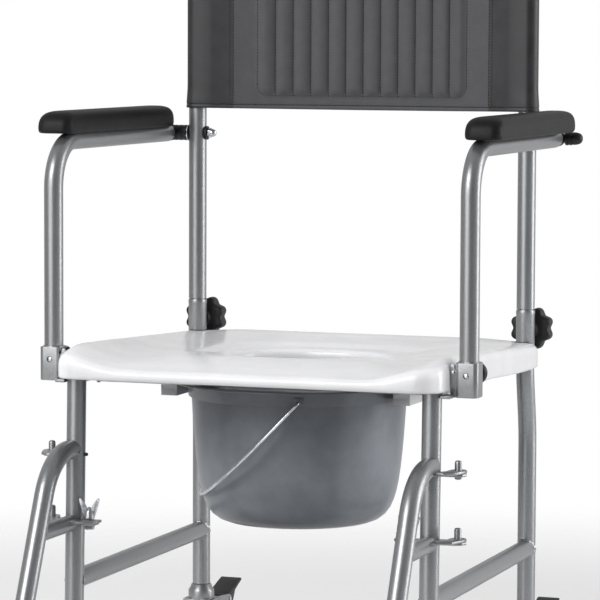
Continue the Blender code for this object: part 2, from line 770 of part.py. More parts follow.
def star_knob(name, side, parent):
    """A lobed clamp knob behind each sleeve, with its threaded stud."""
    lobes = 8
    points_per_lobe = 4
    centre = Vector((frame_half_width, 0, 0.504))
    up = y_axis.cross(x_axis)

    def lobed(y, radius, depth):
        points = []
        for i in range(lobes * points_per_lobe):
            angle = 2.0 * math.pi * i / (lobes * points_per_lobe)
            wave = 0.5 - 0.5 * math.cos(lobes * angle)
            r = radius - depth * (1.0 - wave)
            points.append(centre + y_axis * y + x_axis * (r * math.cos(angle))
                          + up * (r * math.sin(angle)))
        return points

    rings = [lobed(0.0098, 0.0030, 0.0), lobed(0.0150, 0.0030, 0.0), lobed(0.0150, 0.0090, 0.0),
             lobed(0.0200, 0.0215, 0.0030), lobed(0.0245, 0.0255, 0.0045),
             lobed(0.0385, 0.0255, 0.0045), lobed(0.0450, 0.0185, 0.0020)]
    add_node(name, mirrored(stack(rings), side), black_plastic, parent,
             Vector((side * frame_half_width, 0.0325, 0.504)))


# Pail
def pail(parent, pivot):
    bowl = [(0.1272, 0.4400), (0.1225, 0.3760), (0.1155, 0.3300), (0.1085, 0.3110),
            (0.0960, 0.2965), (0.0780, 0.2915)]
    outside = [(flange_radius, flange_top_z), (flange_radius, flange_bottom_z),
               (collar_radius, flange_bottom_z), (collar_radius, 0.4400)] + bowl
    inside = [(radius - pail_wall, height + pail_wall * 0.8) for radius, height in bowl[::-1]]
    inside += [(collar_radius - 0.0040, flange_bottom_z), (collar_radius - 0.0040, flange_top_z)]
    profile = outside + [(0.0, 0.2915), (0.0, 0.2915 + pail_wall)] + inside
    centre = Vector((0, pail_y, 0))
    mesh = turned(profile, centre, z_axis, x_axis, pail_sides, closed=True)
    axis = bail_axis()
    steps = []
    for way in (1, -1):
        start = centre + z_axis * bail_pivot_z + axis * (way * 0.118)
        end = centre + z_axis * bail_pivot_z + axis * (way * 0.140)
        steps.append(("DIFFERENCE", rod(start, end, bail_wire_radius + 0.0006, 10)))
    return add_node("pail", combine(mesh, steps), grey_plastic, parent, pivot)


def bail_axis():
    return Vector((math.sin(bail_axis_angle), -math.cos(bail_axis_angle), 0.0))


def bail(parent, pivot):
    """The pail's wire handle, leaning on the bowl."""
    axis = bail_axis()
    outward = Vector((-math.cos(bail_axis_angle), -math.sin(bail_axis_angle), 0.0))
    down = outward * math.cos(bail_drop_angle) - z_axis * math.sin(bail_drop_angle)
    normal = axis.cross(down)
    reach = bail_arm_reach
    corner = 0.006
    straight = bail_depth - reach
    flat = [(0.1250, 0.0), (0.1290, 0.0), (reach - corner, 0.0)]
    for i in range(1, 4):
        angle = math.radians(30.0 * i)
        flat.append((reach - corner + corner * math.sin(angle), corner - corner * math.cos(angle)))
    flat.append((reach, straight))
    for i in range(1, 16):
        angle = math.pi * i / 16.0
        flat.append((reach * math.cos(angle), straight + reach * math.sin(angle)))
    flat.append((-reach, straight))
    for i in range(3, 0, -1):
        angle = math.radians(30.0 * i)
        flat.append((-reach + corner - corner * math.sin(angle), corner - corner * math.cos(angle)))
    flat += [(-reach + corner, 0.0), (-0.1290, 0.0), (-0.1250, 0.0)]
    path = [pivot + axis * a + down * b for a, b in flat]
    rings = path_rings(path, [bail_wire_radius] * len(path), normal, 8)
    add_node("pail_bail", stack(rings), bright_steel, parent, pivot)


# Leg rests
def slope_point(z):
    """A point at height z on the sloping run of the leg rest's centre line."""
    end_y = hanger_bend_y - hanger_bend_radius * math.sin(hanger_slope)
    end_z = hanger_top_z - hanger_bend_radius * (1.0 - math.cos(hanger_slope))
    return Vector((hanger_x, end_y - (end_z - z) / math.tan(hanger_slope), z))


def hanger_stub():
    """The stub from the lower hinge, its front end shaped to stop inside the tube's wall."""
    middle_of_wall = tube_radius - 0.5 * tube_wall
    rear = ring(Vector((hanger_x, -0.4035, stub_z)), x_axis, z_axis, stub_radius, tube_sides)
    front = []
    for point in rear:
        off_centre = point.x - hanger_x
        reach = math.sqrt(middle_of_wall ** 2 - off_centre ** 2) / math.sin(hanger_slope)
        front.append(Vector((point.x, slope_point(point.z).y + reach, point.z)))
    faces = [tuple(range(tube_sides))]
    skin([rear, front], 0, faces)
    last = 2 * tube_sides
    for i in range(tube_sides // 2):
        upper = tube_sides + i
        strip = [upper, upper + 1, last - i - 1, last - i if i else upper]
        faces.append(tuple(dict.fromkeys(strip)))
    return solid(rear + front, faces)


def hanger(name, side, parent, pivot):
    path = [Vector((hanger_x, -0.3925, hanger_top_z))]
    bend = arc((hanger_x, hanger_bend_y, hanger_top_z - hanger_bend_radius), hanger_bend_radius,
               0.5 * math.pi, 0.5 * math.pi + hanger_slope, 4)
    path += bend
    path.append(slope_point(hanger_end_z))
    mesh = tube(path, tube_radius, tube_bore, x_axis)
    leg = rod(Vector((frame_half_width, leg_y(0.36), 0.36)),
              Vector((frame_half_width, leg_y(0.41), 0.41)), tube_radius + 0.0005, tube_sides)
    upper = slab([(0.2390, -0.3765), (0.2455, -0.3745), (0.2520, -0.3770), (0.2555, -0.3840),
                  (0.2545, -0.3920), (0.2480, -0.4100), (0.2380, -0.4180), (0.2262, -0.4180),
                  (0.2262, -0.4040), (0.2300, -0.4030), (0.2345, -0.3960), (0.2365, -0.3830)],
                 0.3803, 0.3833)
    lower = slab([(0.2390, -0.3765), (0.2455, -0.3745), (0.2520, -0.3770), (0.2555, -0.3840),
                  (0.2545, -0.3920), (0.2470, -0.4120), (0.2320, -0.4210), (0.1990, -0.4210),
                  (0.1830, -0.4150), (0.1785, -0.4080), (0.1785, -0.3965), (0.1880, -0.3965),
                  (0.1880, -0.4010), (0.1897, -0.4030), (0.1930, -0.4040), (0.1961, -0.4030),
                  (0.1975, -0.4010), (0.1975, -0.3965), (0.2012, -0.3965), (0.2015, -0.4032),
                  (0.2300, -0.4032), (0.2345, -0.3960), (0.2365, -0.3830)], 0.3035, 0.3065)
    pin_hole = rod(Vector((hinge_pin.x, hinge_pin.y, 0.29)),
                   Vector((hinge_pin.x, hinge_pin.y, 0.40)), 0.0043)
    mesh = combine(mesh, [("DIFFERENCE", leg), ("UNION", upper), ("UNION", hanger_stub()),
                          ("UNION", lower), ("DIFFERENCE", pin_hole)])
    return add_node(name, mirrored(mesh, side), silver_paint, parent, pivot)


def footrest_tube(name, side, parent, pivot):
    top = slope_point(footrest_top_z)
    corner = slope_point(footrest_run_z)
    tangent = footrest_bend_radius * math.tan(0.5 * hanger_slope)
    down = Vector((0, -math.cos(hanger_slope), -math.sin(hanger_slope)))
    bend_start = corner - down * tangent
    centre = (hanger_x, corner.y - tangent, footrest_run_z + footrest_bend_radius)
    bend = arc(centre, footrest_bend_radius, -0.5 * math.pi + hanger_slope, -0.5 * math.pi, 4)
    path = [top, bend_start] + bend[1:] + [Vector((hanger_x, footrest_end_y, footrest_run_z))]
    mesh = tube(path, inner_radius, inner_bore, x_axis, sides=12)
    return add_node(name, mirrored(mesh, side), bright_steel, parent, pivot)


def footplate(name, side, parent, pivot):
    outline = rounded_outline((plate_inner_x, plate_front_y), (0.2165, plate_rear_y),
                              (0.030, 0.004, 0.004, 0.022), 4)
    plate = slab(outline, 0.1085, 0.1145)
    def along_run(y):
        return Vector((hanger_x, y, footrest_run_z))

    sleeve = rod(along_run(-0.7400), along_run(-0.6140), 0.0130, 20)
    bore = rod(along_run(-0.7800), along_run(-0.5900), inner_radius + gap, 20)
    mesh = combine(plate, [("UNION", sleeve), ("DIFFERENCE", bore)])
    add_node(name, mirrored(mesh, side), black_plastic, parent, pivot)


def wing_nut(name, side, parent):
    """A wing nut on the bracket's stud, over the leg rest's slotted plate."""
    centre = Vector((stud_point.x, stud_point.y, 0.0))
    hub = turned_ring([(0.0033, 0.3069), (0.0062, 0.3069), (0.0056, 0.3150), (0.0045, 0.3180),
                       (0.0033, 0.3180)], centre, z_axis, x_axis, 12)
    wings = []
    for way in (1, -1):
        outline = [(way * 0.0045, 0.3085), (way * 0.0080, 0.3120), (way * 0.0112, 0.3240),
                   (way * 0.0118, 0.3320), (way * 0.0098, 0.3350), (way * 0.0074, 0.3310),
                   (way * 0.0050, 0.3170)]
        wings.append(("UNION", prism(outline, lambda a, b, t: Vector(
            (centre.x + a, centre.y - 0.0013 + t * 0.0026, b)))))
    mesh = combine(hub, wings)
    add_node(name, mirrored(mesh, side), bright_steel, parent,
             Vector((side * stud_point.x, stud_point.y, 0.3069)))


# Castors
def fork(name, side, parent, pivot, stem_y, with_ears):
    stem_x = frame_half_width
    crown = turned([(0, 0.1440), (0.0165, 0.1440), (0.0165, 0.1570),
                    (0.0120, castor_top_z - 0.0006), (stem_radius, castor_top_z - 0.0006),
                    (stem_radius, 0.2000), (0, 0.2000)],
                   Vector((stem_x, stem_y, 0.0)), z_axis, x_axis, 12)
    arm = [(-0.0160, 0.1460), (-0.0150, 0.1300), (0.0265, 0.0560), (0.0330, 0.0515),
           (0.0430, 0.0515), (0.0490, 0.0575), (0.0500, 0.0680), (0.0350, 0.1180)]
    if with_ears:
        arm += [(0.0480, 0.1280), (0.0580, 0.1310), (0.0590, 0.1380), (0.0520, 0.1430)]
    else:
        arm += [(0.0260, 0.1400)]
    arm += [(0.0160, 0.1460)]
    steps = []
    for way in (1, -1):
        inner = way * fork_inner
        outer = way * (fork_inner + fork_thickness)
        steps.append(("UNION", prism(arm, lambda a, b, t: Vector(
            (stem_x + inner + t * (outer - inner), stem_y + a, b)))))
    half = fork_inner + fork_thickness
    bridge = block((stem_x - half, stem_y - 0.0155, 0.1425), (stem_x + half, stem_y + 0.0155, 0.1460))
    axle = rod(Vector((stem_x - half - 0.002, stem_y + castor_trail, wheel_radius)),
               Vector((stem_x + half + 0.002, stem_y + castor_trail, wheel_radius)), 0.0040)
    steps.append(("UNION", bridge))
    steps.append(("UNION", axle))
    if with_ears:
        pin = rod(Vector((stem_x - half, stem_y + 0.0525, 0.1365)),
                  Vector((stem_x + half, stem_y + 0.0525, 0.1365)), 0.0025)
        steps.append(("UNION", pin))
    return add_node(name, mirrored(combine(crown, steps), side), silver_paint, parent, pivot)


def wheel(name, parent, pivot):
    """A castor wheel, turned so that it stands on one of its flats."""
    half_step = math.pi / wheel_sides
    tread = wheel_radius / math.cos(half_step)
    half_profile = [(0.0044, 0.0150), (0.0140, 0.0140), (0.0460, 0.0075), (0.0480, 0.0115),
                    (tread - 0.0045, 0.0115), (tread, 0.0045)]
    profile = half_profile + [(radius, -height) for radius, height in half_profile[::-1]]
    across = Vector((0.0, math.sin(half_step), math.cos(half_step)))
    mesh = turned_ring(profile, Vector(pivot), x_axis, across, wheel_sides)
    add_node(name, mesh, grey_rubber, parent, pivot)


def brake_pedal(name, side, parent, pivot):
    """A foot pedal over the rear wheel; pressed down, its shoe meets the tyre."""
    hub = turned_ring([(0.0029, -0.0145), (0.0060, -0.0145), (0.0060, 0.0145), (0.0029, 0.0145)],
                      Vector((abs(pivot.x), pivot.y, pivot.z)), x_axis, z_axis, 12)
    outline = [(0.0035, -0.0030), (0.0200, -0.0085), (0.0260, -0.0070), (0.0340, 0.0060),
               (0.0560, 0.0150), (0.0570, 0.0185), (0.0330, 0.0120), (0.0035, 0.0040)]
    plate = prism(outline, lambda a, b, t: Vector((abs(pivot.x) - 0.0140 + t * 0.0280,
                                                   pivot.y + a, pivot.z + b)))
    mesh = combine(hub, [("UNION", plate)])
    add_node(name, mirrored(mesh, side), black_plastic, parent, pivot)


def castor(label, side, parent, stem_y, braked):
    stem = Vector((side * frame_half_width, stem_y, castor_top_z))
    body = fork("castor_fork_" + label, side, parent, stem, stem_y, braked)
    axle = Vector((side * frame_half_width, stem_y + castor_trail, wheel_radius))
    wheel("castor_wheel_" + label, body, axle)
    if braked:
        hinge = Vector((side * frame_half_width, stem_y + 0.0525, 0.1365))
        brake_pedal("brake_pedal_" + label, side, body, hinge)


def build():
    clear_scene()
    chair = bpy.data.objects.new("chair", None)
    bpy.context.scene.collection.objects.link(chair)
    chair.location = (0.0, overall_length / 2.0 - handle_reach, 0.0)
    pivots["chair"] = Vector((0, 0, 0))
    frame_tubes(chair)
    seat(chair)
    back = bpy.data.objects.new("back", None)
    bpy.context.scene.collection.objects.link(back)
    back.parent = chair
    back.location = (0.0, 0.0, joint_z)
    pivots["back"] = Vector((0, 0, joint_z))
    sling(back)
    pail_pivot = Vector((0, pail_y, bail_pivot_z))
    pail_node = pail(chair, pail_pivot)
    bail(pail_node, pail_pivot)
    for label, side in (("right", 1), ("left", -1)):
        front_leg("front_leg_" + label, side, chair)
        rear_leg("rear_leg_" + label, side, chair)
        arm_tongue("arm_tongue_" + label, side, chair)
        hanger_lug("hanger_lug_" + label, side, chair)
        hanger_bracket("hanger_bracket_" + label, side, chair)
        back_post("back_post_" + label, side, back)
        grip("push_grip_" + label, side, back)
        pivot_bolt("arm_pivot_bolt_" + label, side, back)
        acorn_nut("acorn_nut_" + label, side, back)
        arm = bpy.data.objects.new("arm_" + label, None)
        bpy.context.scene.collection.objects.link(arm)
        arm.parent = back
        arm.location = (side * arm_half_width, 0.0, arm_z - joint_z)
        pivots["arm_" + label] = Vector((side * arm_half_width, 0.0, arm_z))
        arm_tube("arm_tube_" + label, side, arm)
        arm_pad("arm_pad_" + label, side, arm)
        arm_knuckle("arm_knuckle_" + label, side, arm)
        arm_shoe("arm_shoe_" + label, side, arm)
        plunger("plunger_knob_" + label, side, arm)
        star_knob("star_knob_" + label, side, chair)
        hinge = Vector((side * hinge_pin.x, hinge_pin.y, 0.3035))
        hanger_node = hanger("leg_rest_" + label, side, chair, hinge)
        slide = slope_point(hanger_end_z)
        slide.x = side * slide.x
        rest_node = footrest_tube("footrest_tube_" + label, side, hanger_node, slide)
        fold = Vector((side * hanger_x, -0.677, footrest_run_z))
        footplate("footplate_" + label, side, rest_node, fold)
        wing_nut("wing_nut_" + label, side, chair)
        castor("front_" + label, side, chair, leg_y(castor_top_z), False)
        castor("rear_" + label, side, chair, rear_leg_kick, True)


build()
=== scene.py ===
import math

import bmesh
import bpy
from mathutils import Matrix, Vector


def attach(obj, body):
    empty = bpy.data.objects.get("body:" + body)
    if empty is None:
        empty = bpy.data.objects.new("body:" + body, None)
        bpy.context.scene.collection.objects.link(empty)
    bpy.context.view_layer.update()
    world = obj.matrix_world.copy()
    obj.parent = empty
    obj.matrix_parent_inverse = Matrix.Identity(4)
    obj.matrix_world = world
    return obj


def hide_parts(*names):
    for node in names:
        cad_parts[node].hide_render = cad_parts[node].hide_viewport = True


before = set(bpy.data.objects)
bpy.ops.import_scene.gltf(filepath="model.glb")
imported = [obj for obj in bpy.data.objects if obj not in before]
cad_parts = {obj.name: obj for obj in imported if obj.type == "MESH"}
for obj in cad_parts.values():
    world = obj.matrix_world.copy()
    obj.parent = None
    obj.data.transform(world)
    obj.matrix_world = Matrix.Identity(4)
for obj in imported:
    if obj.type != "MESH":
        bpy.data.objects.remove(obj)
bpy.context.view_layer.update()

# Commode wheelchair. Lengths are in metres and heights are from the floor.
# Places are measured from the plane of the two back posts, then moved to the frame's own zero.
postY = 0.30
halfWidth = 0.2145      # tube centres of the main frame
armX = 0.2515           # tube centres of the arms
tubeRadius = 0.0111     # 7/8 inch tube
tubeWall = 0.0015
tubeSides = 32
plateGauge = 0.0030     # folded plates of the frame, the hinges and the castors
past = 0.01             # how far a cutting tool reaches past what it cuts
mergeWithin = 0.00002   # points nearer than this are doubles
xAxis = Vector((1, 0, 0))
yAxis = Vector((0, 1, 0))
zAxis = Vector((0, 0, 1))


def at(x, y, z):
    return Vector((x, y + postY, z))


def facing(axis):
    # the turn that brings a primitive's own Z on to the axis
    return Vector(axis).to_track_quat("Z", "Y").to_euler()


def ramp(value, start, width):
    # 0 up to start, 1 from start + width on, and a smooth rise between them
    share = min(max((value - start) / width, 0.0), 1.0)
    return share * share * (3.0 - 2.0 * share)


def circleSteps(count):
    # cosine and sine at each step round a circle
    turns = [2.0 * math.pi * i / count for i in range(count)]
    return [(math.cos(turn), math.sin(turn)) for turn in turns]


def deselectAll():
    if bpy.context.mode != "OBJECT":
        bpy.ops.object.mode_set(mode="OBJECT")
    bpy.ops.object.select_all(action="DESELECT")


def makeActive(piece):
    deselectAll()
    piece.select_set(True)
    bpy.context.view_layer.objects.active = piece


def openEdit(piece):
    makeActive(piece)
    bpy.ops.object.mode_set(mode="EDIT")
    bpy.ops.mesh.select_mode(type="VERT")
    bpy.ops.mesh.select_all(action="SELECT")


def started(name):
    # the primitive just added, in edit mode with all of it selected
    piece = bpy.context.active_object
    piece.name = name
    piece.data.name = name
    openEdit(piece)
    return piece


def extrudeBy(step):
    bpy.ops.mesh.extrude_region_move(TRANSFORM_OT_translate={"value": tuple(step)})


def scaleAbout(centre, factors):
    bpy.ops.transform.resize(value=factors, center_override=tuple(centre))


def pickFaces(piece, test):
    # selects the faces whose normal passes the test
    bpy.ops.mesh.select_mode(type="FACE")
    bpy.ops.mesh.select_all(action="DESELECT")
    work = bmesh.from_edit_mesh(piece.data)
    for face in work.faces:
        face.select = test(face.normal)
    work.select_flush_mode()
    bmesh.update_edit_mesh(piece.data)


def closeShape(piece, capped=False):
    # leaves edit mode with doubles merged, open ends filled if wanted, and faces outward
    bpy.ops.mesh.select_all(action="SELECT")
    bpy.ops.mesh.remove_doubles(threshold=mergeWithin)
    if capped:
        bpy.ops.mesh.fill_holes(sides=0)
    bpy.ops.mesh.normals_make_consistent(inside=False)
    bpy.ops.object.mode_set(mode="OBJECT")
    bpy.ops.object.transform_apply(location=True, rotation=True, scale=True)
    return piece


def modify(piece, kind, **settings):
    makeActive(piece)
    modifier = piece.modifiers.new(kind.title(), kind)
    for key, value in settings.items():
        setattr(modifier, key, value)
    bpy.ops.object.modifier_apply(modifier=modifier.name)
    return piece


def softenEdges(piece, width, segments=2, degrees=40):
    return modify(piece, "BEVEL", width=width, segments=segments, limit_method="ANGLE",
                  angle_limit=math.radians(degrees), harden_normals=False)


def cutWith(piece, tool):
    modify(piece, "BOOLEAN", operation="DIFFERENCE", solver="EXACT", object=tool)
    bpy.data.objects.remove(tool, do_unlink=True)
    return piece


def joinInto(piece, *others):
    deselectAll()
    for other in others:
        other.select_set(True)
    piece.select_set(True)
    bpy.context.view_layer.objects.active = piece
    bpy.ops.object.join()
    return piece


def drawTube(name, start, heading, radius, moves, wall=tubeWall, sides=tubeSides):
    # a ring carried along straights ("go"), bends ("bend") and changes of size ("size")
    deselectAll()
    bpy.ops.mesh.primitive_circle_add(vertices=sides, radius=radius, location=start,
                                      rotation=facing(heading))
    piece = started(name)
    place = Vector(start)
    for kind, *move in moves:
        if kind == "go":
            extrudeBy(move[0])
            place = place + Vector(move[0])
        elif kind == "bend":
            centre, axis, degrees, steps = move
            bpy.ops.mesh.spin(steps=steps, angle=math.radians(degrees), center=tuple(centre),
                              axis=tuple(axis))
            place = centre + Matrix.Rotation(-math.radians(degrees), 3, axis) @ (place - centre)
        elif kind == "size":
            scaleAbout(place, (move[0],) * 3)
    closeShape(piece, capped=not wall)
    if wall:
        modify(piece, "SOLIDIFY", thickness=wall, offset=-1.0)
    return piece


def drawTurned(name, origin, axis, profile, sides=32):
    # turned on a lathe: rings of (radius, height) along the axis, raised and scaled in turn
    deselectAll()
    radius, height = profile[0]
    place = origin + axis * height
    bpy.ops.mesh.primitive_circle_add(vertices=sides, radius=radius, fill_type="NGON",
                                      location=place, rotation=facing(axis))
    piece = started(name)
    for nextRadius, height in profile[1:]:
        step = origin + axis * height - place
        extrudeBy(step)
        place = place + step
        if abs(nextRadius - radius) > 0.000001:
            scaleAbout(place, (nextRadius / radius,) * 3)
        radius = nextRadius
    return closeShape(piece)


def drawPlate(name, start, along, up, outline, *raised):
    # an outline drawn vertex by vertex, filled, and raised by steps that may be scaled about start
    deselectAll()
    first = start + along * outline[0][0] + up * outline[0][1]
    bpy.ops.mesh.primitive_plane_add(size=0.01, location=first)
    piece = started(name)
    bpy.ops.mesh.merge(type="CENTER")
    for (a, b), (nextA, nextB) in zip(outline, outline[1:]):
        extrudeBy(along * (nextA - a) + up * (nextB - b))
    bpy.ops.mesh.select_all(action="SELECT")
    bpy.ops.mesh.edge_face_add()
    middle = Vector(start)
    for move, factors in raised:
        extrudeBy(move)
        middle = middle + Vector(move)
        if factors:
            scaleAbout(middle, factors)
    return closeShape(piece)


def drawLoft(name, rings, capped=False):
    # a ring extruded again and again, each copy moved point by point on to the next ring
    deselectAll()
    count = len(rings[0])
    bpy.ops.mesh.primitive_circle_add(vertices=count, radius=1.0)
    piece = started(name)
    work = bmesh.from_edit_mesh(piece.data)
    order = sorted(work.verts, key=lambda vertex: vertex.index)
    for vertex, point in zip(order, rings[0]):
        vertex.co = point
    for ring in rings[1:]:
        held = {tuple(round(c, 7) for c in vertex.co): i for i, vertex in enumerate(order)}
        bpy.ops.mesh.extrude_region_move()
        work = bmesh.from_edit_mesh(piece.data)
        order = [None] * count
        for vertex in work.verts:
            if vertex.select:
                order[held[tuple(round(c, 7) for c in vertex.co)]] = vertex
        for vertex, point in zip(order, ring):
            vertex.co = point
    bmesh.update_edit_mesh(piece.data)
    return closeShape(piece, capped)


def roundedBox(low, high, radii, steps=5):
    # outline of a rectangle with round corners: one radius, or four from the low corner on
    if isinstance(radii, float):
        radii = (radii,) * 4
    points = []
    for (cornerX, cornerY, first), radius in zip(((0, 0, 180), (1, 0, 270), (1, 1, 0), (0, 1, 90)),
                                                 radii):
        midX = (low[0] + radius, high[0] - radius)[cornerX]
        midY = (low[1] + radius, high[1] - radius)[cornerY]
        for i in range(steps + 1):
            turn = math.radians(first + 90.0 * i / steps)
            points.append((midX + radius * math.cos(turn), midY + radius * math.sin(turn)))
    return points


def drawBlock(name, low, high, bevel=0.0):
    deselectAll()
    middle = (low + high) / 2
    bpy.ops.mesh.primitive_cube_add(size=1.0, location=middle)
    piece = started(name)
    scaleAbout(middle, tuple(high - low))
    closeShape(piece)
    return softenEdges(piece, bevel) if bevel else piece


def drawWeld(name, centre, axis, radius, bead, reach=None):
    # a rippled bead round a tube's end; reach tells how far each point stands from the end's plane
    weldSet = {"segments": 56, "beadSides": 8, "ripples": 14, "swell": 0.16}
    deselectAll()
    turn = facing(axis)
    bpy.ops.mesh.primitive_torus_add(major_segments=weldSet["segments"],
                                     minor_segments=weldSet["beadSides"], major_radius=radius,
                                     minor_radius=bead, location=centre, rotation=turn)
    piece = closeShape(started(name))
    ownX = turn.to_matrix() @ xAxis
    ownY = turn.to_matrix() @ yAxis
    for vertex in piece.data.vertices:
        arm = vertex.co - centre
        along = arm.dot(axis)
        flat = arm - axis * along
        angle = math.atan2(flat.dot(ownY), flat.dot(ownX))
        swell = 1.0 + weldSet["swell"] * math.sin(weldSet["ripples"] * angle)
        core = flat.normalized() * radius
        shift = axis * (reach(flat) if reach else 0.0)
        vertex.co = centre + core + (flat - core + axis * along) * swell + shift
    return piece


def otherSide(piece, name):
    # a mirrored copy with its own mesh, its faces turned outward again
    makeActive(piece)
    bpy.ops.object.duplicate()
    copy = bpy.context.active_object
    copy.name = name
    copy.data.name = name
    copy.scale.x = -1.0
    bpy.ops.object.transform_apply(location=True, rotation=True, scale=True)
    work = bmesh.new()
    work.from_mesh(copy.data)
    if work.calc_volume(signed=True) < 0.0:
        bmesh.ops.reverse_faces(work, faces=work.faces)
        work.to_mesh(copy.data)
    work.free()
    return copy


def dress(piece, material, body, replaced=(), smoothAngle=35):
    makeActive(piece)
    piece.data.materials.clear()
    piece.data.materials.append(material)
    bpy.ops.object.shade_smooth_by_angle(angle=math.radians(smoothAngle))
    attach(piece, body)
    if replaced:
        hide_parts(*replaced)
    return piece


def dressPair(piece, material, body, replaced=(), smoothAngle=35):
    # body and replaced hold {} for right or left; the left piece is the right one's mirror image
    left = otherSide(piece, piece.name + "Left")
    piece.name += "Right"
    return [dress(item, material, body.format(label), [node.format(label) for node in replaced],
                  smoothAngle) for item, label in ((piece, "right"), (left, "left"))]


def linear(hexColour):
    # an sRGB hex value as a linear colour
    channels = [int(hexColour[i:i + 2], 16) / 255.0 for i in (1, 3, 5)]
    return (*[c / 12.92 if c <= 0.04045 else ((c + 0.055) / 1.055) ** 2.4 for c in channels], 1.0)


def addNode(tree, kind, inputs=None, **settings):
    # adds a node; an input is a plain value, or another node's output socket
    made = tree.nodes.new("ShaderNode" + kind)
    for key, value in settings.items():
        setattr(made, key, value)
    for socket, value in (inputs or {}).items():
        if isinstance(value, bpy.types.NodeSocket):
            tree.links.new(value, made.inputs[socket])
        else:
            made.inputs[socket].default_value = value
    return made


def startMaterial(name, **sockets):
    # gives the material, its tree, and the piece's own coordinates for its patterns
    material = bpy.data.materials.new(name)
    material.use_nodes = True
    tree = material.node_tree
    for socket, value in sockets.items():
        tree.nodes["Principled BSDF"].inputs[socket.replace("_", " ")].default_value = value
    return material, tree, addNode(tree, "TexCoord").outputs["Object"]


def perMillimetre(millimetres):
    # the noise scale whose pattern repeats at about this size
    return 1000.0 / millimetres


def twoTone(tree, place, look, size, low=0.35, high=0.65, detail=4.0):
    # clouds of a real size between the look's two colours; gives the colour and the clouds
    clouds = addNode(tree, "TexNoise", {"Vector": place, "Scale": perMillimetre(size),
                                        "Detail": detail, "Roughness": 0.55})
    share = addNode(tree, "MapRange", {"Value": clouds.outputs["Fac"], "From Min": low,
                                       "From Max": high})
    blend = addNode(tree, "Mix", {"Factor": share.outputs["Result"], "A": linear(look["dark"]),
                                  "B": linear(look["light"])}, data_type="RGBA")
    return blend.outputs["Result"], clouds.outputs["Fac"]


def finish(material, look, colour, clouds, grain):
    # links the colour, a roughness that drifts with the clouds, and the grain as fine relief
    tree = material.node_tree
    shader = tree.nodes["Principled BSDF"]
    tree.links.new(colour, shader.inputs["Base Color"])
    if clouds:
        low, high = look["rough"]
        rough = addNode(tree, "MapRange", {"Value": clouds, "To Min": low, "To Max": high})
        tree.links.new(rough.outputs["Result"], shader.inputs["Roughness"])
    bump = addNode(tree, "Bump", {"Height": grain, "Strength": look["relief"],
                                  "Distance": look["depth"]})
    tree.links.new(bump.outputs["Normal"], shader.inputs["Normal"])
    return material


def paintedSteel():
    # silver powder coat on steel tube: fine flake, a soft orange peel, broad soft highlights
    look = {"dark": "#8b8c8e", "light": "#a2a3a5", "flakeSize": 0.9, "cloudSize": 60.0,
            "peelSize": 2.2, "rough": (0.31, 0.41), "relief": 0.12, "depth": 0.0002}
    material, tree, place = startMaterial("silverPowderCoat", Metallic=0.82, Roughness=0.36)
    colour = twoTone(tree, place, look, look["flakeSize"], 0.3, 0.7, 2.0)[0]
    clouds = addNode(tree, "TexNoise", {"Vector": place, "Scale": perMillimetre(look["cloudSize"])})
    peel = addNode(tree, "TexNoise", {"Vector": place, "Scale": perMillimetre(look["peelSize"])})
    return finish(material, look, colour, clouds.outputs["Fac"], peel.outputs["Fac"])


def platedSteel():
    # bright zinc plate: clean white metal with faint clouding
    look = {"dark": "#b9bcc0", "light": "#dfe1e4", "cloudSize": 7.0, "grainSize": 0.6,
            "rough": (0.17, 0.31), "relief": 0.08, "depth": 0.0001}
    material, tree, place = startMaterial("zincPlate", Metallic=1.0, Roughness=0.24)
    colour, clouds = twoTone(tree, place, look, look["cloudSize"])
    grain = addNode(tree, "TexNoise", {"Vector": place, "Scale": perMillimetre(look["grainSize"])})
    return finish(material, look, colour, clouds, grain.outputs["Fac"])


def mouldedPlastic(name, look):
    # injection moulded: even colour with faint flow clouds, and the tool's fine texture
    material, tree, place = startMaterial(name, Roughness=sum(look["rough"]) / 2, IOR=1.49)
    colour, clouds = twoTone(tree, place, look, look["cloudSize"])
    grain = addNode(tree, "TexNoise", {"Vector": place, "Scale": perMillimetre(look["grainSize"]),
                                       "Detail": 3.0})
    return finish(material, look, colour, clouds, grain.outputs["Fac"])


def foamSkin():
    # self-skinned polyurethane: close leather grain pressed in, soft sheen on the round edges
    look = {"dark": "#0b0b0c", "light": "#121213", "cloudSize": 30.0, "grainSize": 1.6,
            "rough": (0.48, 0.62), "relief": 0.35, "depth": 0.00012}
    material, tree, place = startMaterial("foamSkin", Roughness=0.55, IOR=1.33)
    colour = twoTone(tree, place, look, look["cloudSize"])[0]
    cells = addNode(tree, "TexVoronoi", {"Vector": place, "Scale": perMillimetre(look["grainSize"]),
                                         "Randomness": 1.0}, feature="SMOOTH_F1")
    return finish(material, look, colour, cells.outputs["Distance"], cells.outputs["Distance"])


